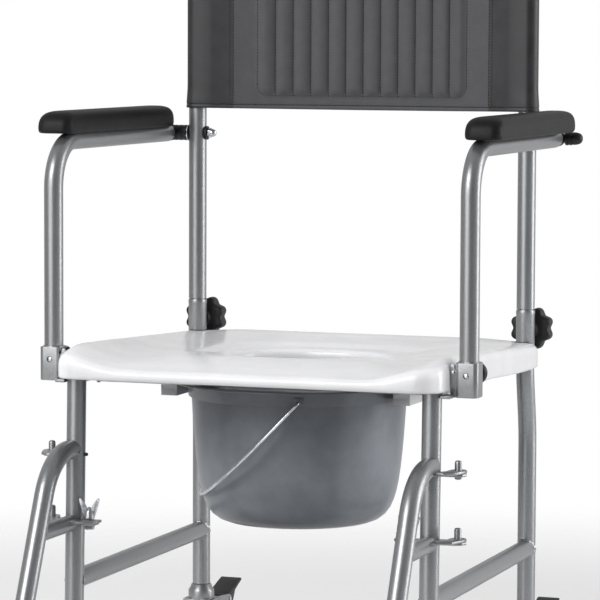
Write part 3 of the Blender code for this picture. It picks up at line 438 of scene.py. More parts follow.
def wovenNylon():
    # upholstery nylon: two threads crossing in a plain weave, drawn at twice their real width
    look = {"warp": "#3d3d40", "weft": "#545457", "thread": 1.2, "cloudSize": 14.0,
            "relief": 0.5, "depth": 0.00012}
    material, tree, place = startMaterial("wovenNylon", Roughness=0.68, Sheen_Weight=0.25,
                                          Sheen_Roughness=0.5)
    perThread = 2.0 * math.pi * perMillimetre(look["thread"] * 2.0)
    axes = addNode(tree, "SeparateXYZ", {"Vector": place})
    waves = []
    for axis in ("X", "Z"):
        phase = addNode(tree, "Math", {0: axes.outputs[axis], 1: perThread}, operation="MULTIPLY")
        waves.append(addNode(tree, "Math", {0: phase.outputs[0]}, operation="SINE").outputs[0])
    crossing = addNode(tree, "Math", {0: waves[0], 1: waves[1]}, operation="MULTIPLY")
    over = addNode(tree, "MapRange", {"Value": crossing.outputs[0], "From Min": -0.5,
                                      "From Max": 0.5})
    clouds = addNode(tree, "TexNoise", {"Vector": place, "Scale": perMillimetre(look["cloudSize"])})
    tone = addNode(tree, "Math", {0: over.outputs["Result"], 1: clouds.outputs["Fac"]},
                   operation="MULTIPLY")
    colour = addNode(tree, "Mix", {"Factor": tone.outputs[0], "A": linear(look["warp"]),
                                   "B": linear(look["weft"])}, data_type="RGBA")
    return finish(material, look, colour.outputs["Result"], None, crossing.outputs[0])


def coatedFabric():
    # vinyl-coated cloth: smooth dark face, fine leather grain, a low sheen along folds
    look = {"dark": "#1c1c1e", "light": "#262629", "cloudSize": 22.0, "grainSize": 1.1,
            "rough": (0.4, 0.54), "relief": 0.3, "depth": 0.00008}
    material, tree, place = startMaterial("coatedFabric", Roughness=0.46, IOR=1.5)
    colour, clouds = twoTone(tree, place, look, look["cloudSize"])
    grain = addNode(tree, "TexVoronoi", {"Vector": place,
                                         "Scale": perMillimetre(look["grainSize"])})
    return finish(material, look, colour, clouds, grain.outputs["Distance"])


def treadRubber():
    # grey solid rubber: matt, with faint clouds of a lighter grey
    look = {"dark": "#55575a", "light": "#66686b", "cloudSize": 9.0, "grainSize": 0.8,
            "rough": (0.62, 0.82), "relief": 0.3, "depth": 0.0001}
    material, tree, place = startMaterial("greyRubber", Roughness=0.72)
    colour, clouds = twoTone(tree, place, look, look["cloudSize"])
    grain = addNode(tree, "TexNoise", {"Vector": place, "Scale": perMillimetre(look["grainSize"])})
    return finish(material, look, colour, clouds, grain.outputs["Fac"])


silverPaint = paintedSteel()
zincPlate = platedSteel()
# polypropylene off a polished tool: a soft even gloss, duller on the pail
seatPlastic = mouldedPlastic("whitePolypropylene", {
    "dark": "#e4e4e6", "light": "#eaeaec", "cloudSize": 45.0, "grainSize": 1.2,
    "rough": (0.15, 0.25), "relief": 0.25, "depth": 0.00002})
pailPlastic = mouldedPlastic("greyPolypropylene", {
    "dark": "#74797f", "light": "#82868d", "cloudSize": 45.0, "grainSize": 1.5,
    "rough": (0.25, 0.35), "relief": 0.25, "depth": 0.00004})
# nylon off a spark-eroded tool: matt with a fine grain; as sewing thread it is fuzzier still
blackNylon = mouldedPlastic("blackNylon", {
    "dark": "#09090a", "light": "#0f0f11", "cloudSize": 20.0, "grainSize": 0.7,
    "rough": (0.47, 0.57), "relief": 0.25, "depth": 0.00008})
hubNylon = mouldedPlastic("greyNylon", {
    "dark": "#7d7f82", "light": "#8b8d90", "cloudSize": 20.0, "grainSize": 0.9,
    "rough": (0.35, 0.45), "relief": 0.25, "depth": 0.00006})
sewingThread = mouldedPlastic("blackThread", {
    "dark": "#141416", "light": "#202023", "cloudSize": 5.0, "grainSize": 0.4,
    "rough": (0.65, 0.75), "relief": 0.25, "depth": 0.0001})
padFoam = foamSkin()
slingCloth = wovenNylon()
sleeveVinyl = coatedFabric()
greyRubber = treadRubber()
print("materials ready")


# Camera: the photograph's height and angle, with no shift
cameraSet = {"place": (1.27187, -3.52438, 0.87393), "yaw": 19.4325, "pitch": -4.8117,
             "roll": 0.2259, "lens": 195.41, "sensor": 36.0}
camera = bpy.data.objects.new("camera", bpy.data.cameras.new("camera"))
bpy.context.scene.collection.objects.link(camera)
camera.matrix_world = (Matrix.Translation(cameraSet["place"])
                       @ Matrix.Rotation(math.radians(cameraSet["yaw"]), 4, "Z")
                       @ Matrix.Rotation(math.radians(90.0 + cameraSet["pitch"]), 4, "X")
                       @ Matrix.Rotation(math.radians(cameraSet["roll"]), 4, "Z"))
camera.data.lens = cameraSet["lens"]
camera.data.sensor_width = cameraSet["sensor"]
bpy.context.scene.camera = camera
bpy.context.scene.view_settings.view_transform = "Standard"


# Studio: a low softbox on the left that only shines in the metal, one behind on the right, one to
# each side and a high one in front, so that the seat shades what hangs under it
lamps = {"key": {"place": (-1.15, -3.15, 1.2), "size": (2.5, 2.2), "power": 46.0,
                 "diffuse": False, "glossy": True},
         "rim": {"place": (2.45, 1.15, 1.0), "size": (1.0, 2.0), "power": 33.0,
                 "diffuse": True, "glossy": True},
         "left": {"place": (-2.5, -1.0, 1.4), "size": (1.8, 2.4), "power": 66.0,
                  "diffuse": True, "glossy": False},
         "right": {"place": (2.5, -0.7, 1.2), "size": (1.6, 2.4), "power": 39.0,
                   "diffuse": True, "glossy": False},
         "front": {"place": (-1.1, -2.7, 2.7), "size": (1.6, 1.4), "power": 64.0,
                   "diffuse": True, "glossy": True}}
lampTarget = Vector((0.0, 0.0, 0.55))
for name, lamp in lamps.items():
    light = bpy.data.lights.new(name, "AREA")
    light.shape = "RECTANGLE"
    light.size, light.size_y = lamp["size"]
    light.energy = lamp["power"]
    holder = bpy.data.objects.new(name, light)
    bpy.context.scene.collection.objects.link(holder)
    holder.location = lamp["place"]
    holder.visible_diffuse = lamp["diffuse"]
    holder.visible_glossy = lamp["glossy"]
    holder.rotation_euler = (lampTarget - holder.location).to_track_quat("-Z", "Y").to_euler()

# World: a fill that grows with height; what shines mirrors a room that is darker on the camera's
# side; white where the camera sees it
worldSet = {"fill": {"axis": "Z", "from": (-0.1, 0.9), "to": (0.04, 0.40)},
            "mirrored": {"axis": "Y", "from": (-0.7, 0.9), "to": (0.18, 0.66)}}
world = bpy.data.worlds.new("studio")
bpy.context.scene.world = world
world.use_nodes = True
tree = world.node_tree
tree.nodes.clear()
ray = addNode(tree, "LightPath")
axes = addNode(tree, "SeparateXYZ", {"Vector": addNode(tree, "TexCoord").outputs["Generated"]})
skies = []
for look in worldSet.values():
    strength = addNode(tree, "MapRange", {"Value": axes.outputs[look["axis"]],
                                          "From Min": look["from"][0], "From Max": look["from"][1],
                                          "To Min": look["to"][0], "To Max": look["to"][1]})
    skies.append(addNode(tree, "Background", {"Color": linear("#ffffff"),
                                              "Strength": strength.outputs["Result"]}))
white = addNode(tree, "Background", {"Color": linear("#ffffff"), "Strength": 1.0})
shining = addNode(tree, "Math", {0: ray.outputs["Is Glossy Ray"],
                                 1: ray.outputs["Is Transmission Ray"]}, operation="MAXIMUM")
lit = addNode(tree, "MixShader", {0: shining.outputs[0], 1: skies[0].outputs[0],
                                  2: skies[1].outputs[0]})
seen = addNode(tree, "MixShader", {0: ray.outputs["Is Camera Ray"], 1: lit.outputs[0],
                                   2: white.outputs[0]})
addNode(tree, "OutputWorld", {"Surface": seen.outputs[0]})

# Floor: pale, fading into the white round it, so that it only carries the shadow
floorSet = {"reach": 2.6, "height": -0.0005, "fadeFrom": 1.0, "fadeTo": 2.3,
            "colour": "#f6f6f6", "bounce": "#7a7a7a"}
deselectAll()
bpy.ops.mesh.primitive_circle_add(vertices=64, radius=floorSet["reach"], fill_type="NGON",
                                  location=(0.0, 0.0, floorSet["height"]))
floor = closeShape(started("floor"))
floorPaint, tree, place = startMaterial("paleFloor", Roughness=0.8)
shader = tree.nodes["Principled BSDF"]
# less light comes back up from it than a pale floor would give
toned = addNode(tree, "Mix", {"Factor": addNode(tree, "LightPath").outputs["Is Diffuse Ray"],
                              "A": linear(floorSet["colour"]), "B": linear(floorSet["bounce"])},
                data_type="RGBA")
tree.links.new(toned.outputs["Result"], shader.inputs["Base Color"])
distance = addNode(tree, "VectorMath", {0: place}, operation="LENGTH")
fade = addNode(tree, "MapRange", {"Value": distance.outputs["Value"],
                                  "From Min": floorSet["fadeFrom"],
                                  "From Max": floorSet["fadeTo"]}, interpolation_type="SMOOTHSTEP")
mixed = addNode(tree, "MixShader", {0: fade.outputs["Result"], 1: shader.outputs["BSDF"],
                                    2: addNode(tree, "BsdfTransparent").outputs["BSDF"]})
tree.links.new(mixed.outputs[0], tree.nodes["Material Output"].inputs["Surface"])
floor.data.materials.append(floorPaint)
print("camera, lamps and floor ready")


# Frame: two side frames of painted tube, joined by two cross tubes under the seat
frameSet = {"legRake": 0.0328, "rakeFrom": 0.450, "frontLegY": -0.385, "legBottom": 0.165,
            "frontLegTop": 0.4835, "seatTube": 0.4725, "lowerRail": 0.234, "rearKick": 0.0145,
            "kickTop": 0.470, "kickHeight": 0.105, "crossTube": 0.4700, "crossRadius": 0.0095,
            "frontCrossY": -0.345, "weld": 0.0016, "crossWeld": 0.0014,
            "kickLevels": (0.355, 0.365, 0.380, 0.395, 0.410, 0.425, 0.440, 0.455, 0.470, 0.480)}
# the socket on a rear leg, upwards: each rise, and the change of size after it
socketMoves = [("go", (0, 0, 0.0005)), ("size", 1.027), ("go", (0, 0, 0.0435)),
               ("go", (0, 0, 0.0012)), ("size", 1.022), ("go", (0, 0, 0.0030)),
               ("go", (0, 0, 0.0017)), ("size", 0.95)]


def legY(height):
    # the front legs are raked
    return frameSet["frontLegY"] - frameSet["legRake"] * (frameSet["rakeFrom"] - height)


def rearLegY(height):
    # the rear legs kick back under the seat
    return frameSet["rearKick"] * ramp(-height, -frameSet["kickTop"], frameSet["kickHeight"])


def copeDepth(flat):
    # how far a rail's end stands back round an upright tube of the same size
    across = min(abs(flat.x), tubeRadius * 0.999)
    return math.sqrt(tubeRadius ** 2 - across ** 2) - tubeRadius


def copeEnd(piece, place, axis):
    # moves a rail's last ring back on to the round of the tube that it is welded to
    for vertex in piece.data.vertices:
        if abs((vertex.co - place).dot(axis)) < 0.0002:
            vertex.co += axis * copeDepth(vertex.co - place)


legBottom, legTop = frameSet["legBottom"], frameSet["frontLegTop"]
frontLeg = drawTube("frontLeg", at(halfWidth, legY(legBottom), legBottom), zAxis, tubeRadius,
                    [("go", (0, legY(legTop) - legY(legBottom), legTop - legBottom))])
dressPair(frontLeg, silverPaint, "frame", ["front_leg_{}"])

heights = (legBottom, *frameSet["kickLevels"])
kick = [("go", (0, rearLegY(high) - rearLegY(low), high - low))
        for low, high in zip(heights, heights[1:])]
rearLeg = drawTube("rearLeg", at(halfWidth, rearLegY(legBottom), legBottom), zAxis, tubeRadius,
                   kick + socketMoves)
dressPair(rearLeg, silverPaint, "frame", ["rear_leg_{}"])

for name, height, node in (("seatSideTube", frameSet["seatTube"], "seat_side_tube_{}"),
                           ("lowerSideRail", frameSet["lowerRail"], "lower_side_rail_{}")):
    frontEnd = at(halfWidth, legY(height) + tubeRadius, height)
    rearEnd = at(halfWidth, rearLegY(height) - tubeRadius, height)
    rail = drawTube(name, frontEnd, yAxis, tubeRadius, [("go", rearEnd - frontEnd)])
    welds = []
    for label, end, axis in (("FrontWeld", frontEnd, yAxis), ("RearWeld", rearEnd, -yAxis)):
        copeEnd(rail, end, axis)
        welds.append(drawWeld(name + label, end, axis, tubeRadius, frameSet["weld"], copeDepth))
    for weld in welds:
        dressPair(weld, silverPaint, "frame")
    dressPair(rail, silverPaint, "frame", [node])

for name, y, node in (("frontCrossTube", frameSet["frontCrossY"], "seat_cross_tube_front"),
                      ("rearCrossTube", 0.0, "seat_cross_tube_rear")):
    reach = halfWidth - tubeRadius
    crossTube = drawTube(name, at(-reach, y, frameSet["crossTube"]), xAxis,
                         frameSet["crossRadius"], [("go", (2 * reach, 0, 0))])
    dress(crossTube, silverPaint, "frame", [node])
    weld = drawWeld(name + "Weld", at(reach, y, frameSet["crossTube"]), -xAxis,
                    frameSet["crossRadius"], frameSet["crossWeld"])
    dressPair(weld, silverPaint, "frame")
print("side frames and cross tubes ready")


# Backrest: two posts that stand in the rear legs' sockets and bend back into the push handles
backSet = {"spigotBottom": 0.4745, "socketTop": 0.5305, "spigotRadius": 0.0092,
           "shoulder": 0.0005, "handleHeight": 0.995, "bend": 0.055, "bendSteps": 12,
           "postEnd": 0.146, "gripEnd": 0.150}
bendCentre = at(halfWidth, backSet["bend"], backSet["handleHeight"] - backSet["bend"])
backPost = drawTube(
    "backPost", at(halfWidth, 0, backSet["spigotBottom"]), zAxis, backSet["spigotRadius"],
    [("go", (0, 0, backSet["socketTop"] - backSet["spigotBottom"])),
     ("go", (0, 0, backSet["shoulder"])), ("size", tubeRadius / backSet["spigotRadius"]),
     ("go", (0, 0, bendCentre.z - backSet["socketTop"] - backSet["shoulder"])),
     ("bend", bendCentre, xAxis, 90, backSet["bendSteps"]),
     ("go", (0, backSet["postEnd"] - backSet["bend"], 0))])
dressPair(backPost, silverPaint, "backrest", ["back_post_{}"])

gripSet = {"start": 0.056, "radius": 0.0155, "collar": 0.0004, "ribs": 4, "ribSteps": 8,
           "firstRib": 0.010, "pitch": 0.019, "ribDepth": 0.0015, "ribFullness": 0.7}
start, radius, end = gripSet["start"], gripSet["radius"], backSet["gripEnd"]
profile = [(radius - 0.0012, start), (radius + gripSet["collar"], start + 0.0012),
           (radius + gripSet["collar"], start + 0.0040), (radius, start + 0.0052)]
for i in range(gripSet["ribs"] * gripSet["ribSteps"] + 1):
    share = i / gripSet["ribSteps"]
    wave = 0.5 - 0.5 * math.cos(2.0 * math.pi * share)
    profile.append((radius - gripSet["ribDepth"] * wave ** gripSet["ribFullness"],
                    start + gripSet["firstRib"] + gripSet["pitch"] * share))
profile += [(radius, end - 0.0045), (radius - 0.0012, end - 0.0018), (radius - 0.0040, end),
            (0.0045, end), (0.0035, end - 0.0012)]
pushGrip = drawTurned("pushGrip", at(halfWidth, 0, backSet["handleHeight"]), yAxis, profile)
dressPair(pushGrip, blackNylon, "backrest", ["push_grip_{}"])


# Arms: tube bent forward and down, pad on top, folded shoe at the foot, plastic knuckle behind
armSet = {"height": 0.7395, "postY": -0.3655, "bend": 0.054, "bendSteps": 12, "rear": -0.0130,
          "foot": 0.4965}
bendCentre = at(armX, armSet["postY"] + armSet["bend"], armSet["height"] - armSet["bend"])
armTube = drawTube("armTube", at(armX, armSet["postY"], armSet["foot"]), zAxis, tubeRadius,
                   [("go", (0, 0, bendCentre.z - armSet["foot"])),
                    ("bend", bendCentre, xAxis, 90, armSet["bendSteps"]),
                    ("go", (0, armSet["rear"] - armSet["postY"] - armSet["bend"], 0))])
dressPair(armTube, silverPaint, "arm_{}", ["arm_tube_{}"])

# each level: how far the pad is drawn in on the sides, at the nose and at the rear; its height
padSet = {"low": (0.2365, -0.3530), "high": (0.2815, -0.0150), "bottom": 0.747, "corner": 0.0135,
          "levels": [(0.0040, 0.0040, 0.0040, 0.0), (0.0012, 0.0012, 0.0012, 0.0016),
                     (0.0, 0.0003, 0.0, 0.0045), (0.0, 0.0008, 0.0, 0.0100),
                     (0.0003, 0.0022, 0.0004, 0.0150), (0.0015, 0.0052, 0.0018, 0.0195),
                     (0.0036, 0.0095, 0.0042, 0.0230), (0.0068, 0.0150, 0.0080, 0.0254),
                     (0.0115, 0.0230, 0.0140, 0.0267), (0.0160, 0.0330, 0.0220, 0.0271),
                     (0.0200, 0.0460, 0.0340, 0.0272)]}
(lowX, lowY), (highX, highY) = padSet["low"], padSet["high"]
middle = at((lowX + highX) / 2, (lowY + highY) / 2, padSet["bottom"])
width, length = highX - lowX, highY - lowY
levels = padSet["levels"]


def padStep(lower, upper):
    # the move and the scaling that take one level of the pad to the next
    move = Vector((0, (upper[1] - upper[2] - lower[1] + lower[2]) / 2, upper[3] - lower[3]))
    factors = ((width - 2 * upper[0]) / (width - 2 * lower[0]),
               (length - upper[1] - upper[2]) / (length - lower[1] - lower[2]), 1.0)
    return move, factors


shrinkX, shrinkY = (width - 2 * levels[0][0]) / width, (length - 2 * levels[0][1]) / length
outline = [((x - middle.x) * shrinkX, (y - middle.y + postY) * shrinkY)
           for x, y in roundedBox(padSet["low"], padSet["high"], padSet["corner"], 6)]
armPad = drawPlate("armPad", middle, xAxis, yAxis, outline,
                   *[padStep(lower, upper) for lower, upper in zip(levels, levels[1:])])
modify(armPad, "SUBSURF", levels=2, render_levels=2)
for piece in dressPair(armPad, padFoam, "arm_{}", ["arm_pad_{}"], 80):
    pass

# the knuckle's body is ribbed where it grips the tube's end; a spacer reaches the post
pivotAt = at(0, 0, armSet["height"])
knuckle = drawTurned("armKnuckle", at(armX, 0, armSet["height"]), yAxis, [
    (0.0086, -0.0280), (0.0092, -0.0265), (0.0092, -0.0129), (0.0100, -0.0127),
    (0.0104, -0.0120), (0.0104, -0.0085), (0.0098, -0.0080), (0.0098, -0.0072),
    (0.0103, -0.0067), (0.0103, -0.0035), (0.0097, -0.0030), (0.0097, -0.0022),
    (0.0102, -0.0017), (0.0101, 0.0040), (0.0095, 0.0072), (0.0080, 0.0092), (0.0055, 0.0102),
    (0.0020, 0.0106)])
spacer = drawTurned("spacer", pivotAt, xAxis, [
    (0.0090, 0.2272), (0.0096, 0.2278), (0.0096, 0.2320), (0.0090, 0.2326), (0.0090, 0.2338),
    (0.0096, 0.2344), (0.0096, 0.2386), (0.0090, 0.2392), (0.0090, 0.2404), (0.0096, 0.2410),
    (0.0096, 0.2500)])
joinInto(knuckle, spacer)
dressPair(knuckle, blackNylon, "arm_{}", ["arm_knuckle_{}"])
print("back posts, grips, arm tubes and pads ready")


# Arm pivots: bolt and domed cap outside, a plated washer against the post; inside, a black
# nylon washer and a plated acorn nut
boltCap = drawTurned("pivotCap", pivotAt, xAxis, [
    (0.0040, 0.2000), (0.0040, 0.2626), (0.0078, 0.2628), (0.0084, 0.2636), (0.0084, 0.2660),
    (0.0074, 0.2666), (0.0074, 0.2674), (0.0082, 0.2680), (0.0082, 0.2705), (0.0073, 0.2711),
    (0.0073, 0.2719), (0.0078, 0.2725), (0.0075, 0.2765), (0.0066, 0.2800), (0.0050, 0.2822),
    (0.0030, 0.2834), (0.0010, 0.2838)])
dressPair(boltCap, blackNylon, "backrest", ["arm_pivot_bolt_{}"])
washer = drawTurned("pivotWasher", pivotAt, xAxis, [
    (0.0040, 0.2256), (0.0098, 0.2256), (0.0101, 0.2259), (0.0101, 0.2266), (0.0098, 0.2269),
    (0.0040, 0.2269)])
dressPair(washer, zincPlate, "backrest")
innerWasher = drawTurned("innerWasher", pivotAt, xAxis, [
    (0.0045, 0.2009), (0.0082, 0.2009), (0.0086, 0.2013), (0.0086, 0.2026), (0.0080, 0.2034),
    (0.0045, 0.2034)])
dressPair(innerWasher, blackNylon, "backrest")
nutHex = drawTurned("acornNut", pivotAt, -xAxis, [
    (0.0058, -0.2010), (0.0064, -0.2005), (0.0064, -0.1962), (0.0058, -0.1957)], 6)
softenEdges(nutHex, 0.0004)
nutDome = drawTurned("nutDome", pivotAt, -xAxis, [
    (0.0050, -0.1965), (0.0052, -0.1955), (0.0049, -0.1935), (0.0040, -0.1916),
    (0.0026, -0.1903), (0.0010, -0.1898)], 24)
joinInto(nutHex, nutDome)
dressPair(nutHex, zincPlate, "backrest", ["acorn_nut_{}"])


# Arm locks: shoe over the frame's tongue, and the pull knob whose pin crosses both
shoeSet = {"half": 0.0131, "bottom": 0.463, "top": 0.502, "wall": 0.0015, "lock": 0.4875,
           "corner": 0.0055, "relief": 0.4735, "frontHole": 0.0034, "rearHole": 0.0046}
half, wall, bottom = shoeSet["half"], shoeSet["wall"], shoeSet["bottom"]
height = shoeSet["top"] - bottom
shoeY = armSet["postY"]
lockAt = at(armX, 0, shoeSet["lock"])
shoe = drawPlate("armShoe", at(armX, shoeY, bottom), xAxis, yAxis,
                 roundedBox((-half, -half), (half, half), shoeSet["corner"], 8),
                 ((0, 0, height), None))
softenEdges(shoe, 0.0009, 3)
# it is open below, towards the frame, and over the rear of the tongue
inside = roundedBox((-half - past, wall - half), (half - wall, half - wall),
                    shoeSet["corner"] - wall, 8)
cutWith(shoe, drawPlate("inside", at(armX, shoeY, bottom - past), xAxis, yAxis, inside,
                        ((0, 0, height - wall + past), None)))
nearWall = half - 0.005
cutWith(shoe, drawBlock("relief", at(armX - half - past, shoeY + nearWall, bottom - past),
                        at(armX + half - wall, shoeY + half + past, shoeSet["relief"])))
for start, end, radius in ((shoeY - half - past, shoeY - nearWall, shoeSet["frontHole"]),
                           (shoeY + nearWall, shoeY + half + past, shoeSet["rearHole"])):
    cutWith(shoe, drawTurned("drill", lockAt, yAxis, [(radius, start), (radius, end)], 24))
joinInto(shoe, drawWeld("shoeWeld", at(armX, shoeY, shoeSet["top"]), zAxis, tubeRadius, 0.0013))
dressPair(shoe, silverPaint, "arm_{}", ["arm_shoe_{}"])

tongue = drawPlate("armTongue", at(0, -0.3760, 0), xAxis, zAxis, [
    (0.2327, 0.4630), (0.2615, 0.4630), (0.2615, 0.4880), (0.2600, 0.4915), (0.2570, 0.4935),
    (0.2395, 0.4935), (0.2380, 0.4950), (0.2380, 0.4990), (0.2366, 0.5004), (0.2345, 0.5005),
    (0.2331, 0.4998), (0.2327, 0.4985)], ((0, plateGauge, 0), None))
softenEdges(tongue, 0.0005)
joinInto(tongue, drawBlock("tongueFoot", at(0.2262, -0.3940, 0.4630),
                           at(0.2378, -0.3730, 0.4665), 0.0005))
screw = drawTurned("tongueScrew", at(0.2362, 0, 0.4910), -yAxis, [
    (0.0015, 0.3735), (0.0023, 0.3758), (0.0023, 0.3768), (0.0018, 0.3776), (0.0008, 0.3780)], 16)
dressPair(screw, zincPlate, "frame")
dressPair(tongue, silverPaint, "frame", ["arm_tongue_{}"])

plungerPin = drawTurned("plungerPin", lockAt, yAxis, [
    (0.0016, -0.3782), (0.0026, -0.3778), (0.0030, -0.3770), (0.0030, -0.3560)], 24)
dressPair(plungerPin, zincPlate, "plunger_{}")
plungerKnob = drawTurned("plungerKnob", lockAt, yAxis, [
    (0.0042, -0.3565), (0.0042, -0.3466), (0.0096, -0.3460), (0.0118, -0.3448),
    (0.0130, -0.3428), (0.0133, -0.3400), (0.0130, -0.3370), (0.0117, -0.3346),
    (0.0094, -0.3330), (0.0058, -0.3322), (0.0017, -0.3320)])
dressPair(plungerKnob, blackNylon, "plunger_{}", ["plunger_knob_{}"])


def threadFrom(start, count):
    # the crests and roots of a stud's thread, half a millimetre apart
    return [(0.0030 - 0.0004 * (i % 2), start + 0.0005 * i) for i in range(count)]


# Clamp knobs behind the sockets: rounded lobes on a hub, with a threaded stud. Each level is a
# rise and the scaling after it.
starSet = {"lobes": 8, "lobeSteps": 8, "radius": 0.0268, "depth": 0.0044, "lobeRound": 1.3,
           "firstSize": 0.86, "height": 0.505, "front": 0.0205,
           "levels": [(0.0012, 1.09), (0.0026, 1.065), (0.0040, 1.005), (0.0052, 1.0),
                      (0.0040, 0.985), (0.0030, 0.95), (0.0020, 0.90), (0.0014, 0.80),
                      (0.0006, 0.62)]}
lobed = []
for i, (across, up) in enumerate(circleSteps(starSet["lobes"] * starSet["lobeSteps"])):
    wave = 0.5 + 0.5 * math.cos(2.0 * math.pi * i / starSet["lobeSteps"])
    reach = ((starSet["radius"] - starSet["depth"] * wave ** starSet["lobeRound"])
             * starSet["firstSize"])
    lobed.append((reach * across, reach * up))
starKnob = drawPlate("starKnob", at(halfWidth, starSet["front"], starSet["height"]), xAxis, zAxis,
                     lobed, *[((0, rise, 0), (size, 1, size)) for rise, size in starSet["levels"]])
modify(starKnob, "SUBSURF", levels=1, render_levels=1)
knobAt = at(halfWidth, 0, starSet["height"])
hub = drawTurned("hub", knobAt, yAxis, [
    (0.0086, 0.0150), (0.0092, 0.0156), (0.0100, 0.0195), (0.0130, 0.0215), (0.0130, 0.0240)])
joinInto(starKnob, hub)
dressPair(starKnob, blackNylon, "clamp_{}", ["star_knob_{}"], 50)
stud = drawTurned("clampStud", knobAt, yAxis,
                  [(0.0026, 0.0098), (0.0030, 0.0102)] + threadFrom(0.0106, 10), 20)
dressPair(stud, zincPlate, "clamp_{}")
print("pivots, locks and clamp knobs ready")


# Seat: one moulded shell, dished round its opening, with a rolled front and raised corners. The
# values in pairs say where a change of height starts and over what width it comes.
seatSet = {"low": (-0.232, -0.420), "high": (0.232, 0.016), "corners": (0.028, 0.025),
           "points": 176, "opening": (0.098, 0.101), "openingY": -0.205, "squareness": 0.8,
           "top": 0.4850, "bowl": 1.6, "crown": 0.0012, "dip": 0.0032, "dipShare": (-0.34, 0.17),
           "swell": 0.0078, "swellStart": (-0.005, 0.085), "swellEnd": (-0.215, 0.100),
           "swellSide": (0.100, 0.090), "thickness": 0.0035, "rearRise": 0.0078,
           "frontDrop": -0.0015, "middleFall": (0.02, 0.28), "wing": (0.142, 0.088),
           "sideRise": 0.0045, "sideClimb": 0.0485, "sideDrop": 0.0100,
           "sideFall": (0.345, 0.075), "cornerRoll": 0.40, "rollStart": (0.26, 0.12),
           "rollFoot": 0.4745, "rollDepth": 0.0125, "skirtDrop": 0.0095,
           "skirtFall": (-0.33, 0.30)}


def seatRim():
    # evenly spaced points round the seat's outline, from its front left corner
    front, rear = seatSet["corners"]
    spots = [Vector(spot) for spot in roundedBox(seatSet["low"], seatSet["high"],
                                                 (front, front, rear, rear), 12)]
    spots.append(spots[0])
    lengths = [(b - a).length for a, b in zip(spots, spots[1:])]
    step = sum(lengths) / seatSet["points"]
    rim = []
    travelled = 0.0
    for a, b, length in zip(spots, spots[1:], lengths):
        while len(rim) < seatSet["points"] and len(rim) * step < travelled + length - 1e-9:
            rim.append(a.lerp(b, (len(rim) * step - travelled) / length))
        travelled += length
    return rim


def wingShare(x):
    # 0 over the middle of the seat and 1 at its sides
    return ramp(abs(x), *seatSet["wing"])


def rimHeight(x, y):
    # the sides climb towards the front and fall away at its edge; the middle drops to the front
    side = (seatSet["sideRise"] - seatSet["sideClimb"] * y
            - seatSet["sideDrop"] * ramp(-y, *seatSet["sideFall"]))
    middle = seatSet["rearRise"] + ((seatSet["frontDrop"] - seatSet["rearRise"])
                                    * ramp(-y, *seatSet["middleFall"]))
    return seatSet["top"] + middle + (side - middle) * wingShare(x)


def rollShare(x, y):
    # how much rounder the front corners turn over than the rest of the rim
    return 1.0 + seatSet["cornerRoll"] * wingShare(x) * ramp(-y, *seatSet["rollStart"])


def dishHeight(x, y, share):
    # the plain of the seat, its swell before the opening, and the soft step down on the other sides
    forward = seatSet["openingY"] - y
    swell = (ramp(forward, *seatSet["swellStart"]) * ramp(-forward, *seatSet["swellEnd"])
             * (1.0 - ramp(abs(x), *seatSet["swellSide"])))
    rise = (rimHeight(x, y) - seatSet["top"]) * max(share, 0.0) ** seatSet["bowl"]
    plain = seatSet["top"] + rise + seatSet["crown"] * math.sin(math.pi * share)
    step = seatSet["dip"] * ramp(-share, *seatSet["dipShare"]) * (1.0 - swell)
    return plain + seatSet["swell"] * swell - step


def openingEdge(x, y):
    # the opening is an oval with fuller corners than an ellipse
    halfX, halfY = seatSet["opening"]
    turn = math.atan2((y - seatSet["openingY"]) / halfY, x / halfX)
    c, d = math.cos(turn), math.sin(turn)
    return (halfX * math.copysign(abs(c) ** seatSet["squareness"], c),
            seatSet["openingY"] + halfY * math.copysign(abs(d) ** seatSet["squareness"], d))


rim = seatRim()


def seatRing(share, inset, height):
    # a ring between the opening, share 0, and the rim, share 1, drawn in from there by inset
    ring = []
    for x, y in rim:
        ox, oy = openingEdge(x, y)
        drawnIn = inset * rollShare(x, y) if inset > 0.0 and share == 1 else inset
        along = share - drawnIn / math.hypot(x - ox, y - oy)
        px, py = ox + (x - ox) * along, oy + (y - oy) * along
        ring.append(at(px, py, height(px, py, along)))
    return ring


def onDish(drop):
    return lambda x, y, share: dishHeight(x, y, share) - drop


def onRim(drop):
    # the roll turns over sooner where the rim is low
    def height(x, y, share):
        top = dishHeight(x, y, 1.0)
        return top - drop * min(rollShare(x, y), (top - seatSet["rollFoot"]) / seatSet["rollDepth"])
    return height


def level(height):
    return lambda x, y, share: height


def skirt(height):
    # the skirt's lower edge sinks towards the back
    return lambda x, y, share: height - seatSet["skirtDrop"] * ramp(y, *seatSet["skirtFall"])


# how far each ring is drawn in, and its drop or height: from the lip over the top to the hem of
# the skirt, then back underneath to the lip's foot
lip = [(0.0, 0.0075), (-0.0003, 0.0048), (-0.0012, 0.0026), (-0.0028, 0.0010), (-0.0050, 0.0002),
       (-0.0080, 0.0), (-0.0120, 0.0)]
topShares = (0.165, 0.20, 0.235, 0.27, 0.305, 0.345, 0.42, 0.52, 0.63, 0.74)
rolled = [(0.0170, -0.0002), (0.0130, 0.0), (0.0095, 0.0004), (0.0066, 0.0012), (0.0042, 0.0025),
          (0.0022, 0.0043), (0.0009, 0.0066), (0.0002, 0.0095), (0.0, 0.0125)]
hem = [(0.0, 0.4735), (0.0, 0.4712), (0.0006, 0.4702), (0.0015, 0.4699), (0.0025, 0.4703),
       (0.0030, 0.4714)]
inRoll = [(0.0034, 0.0110), (0.0050, 0.0066), (0.0085, 0.0042)]
underShares = (0.70, 0.45, 0.20)
lipBack = [(-0.0062, 0.0040), (-0.0036, 0.0066), (-0.0030, 0.0100)]
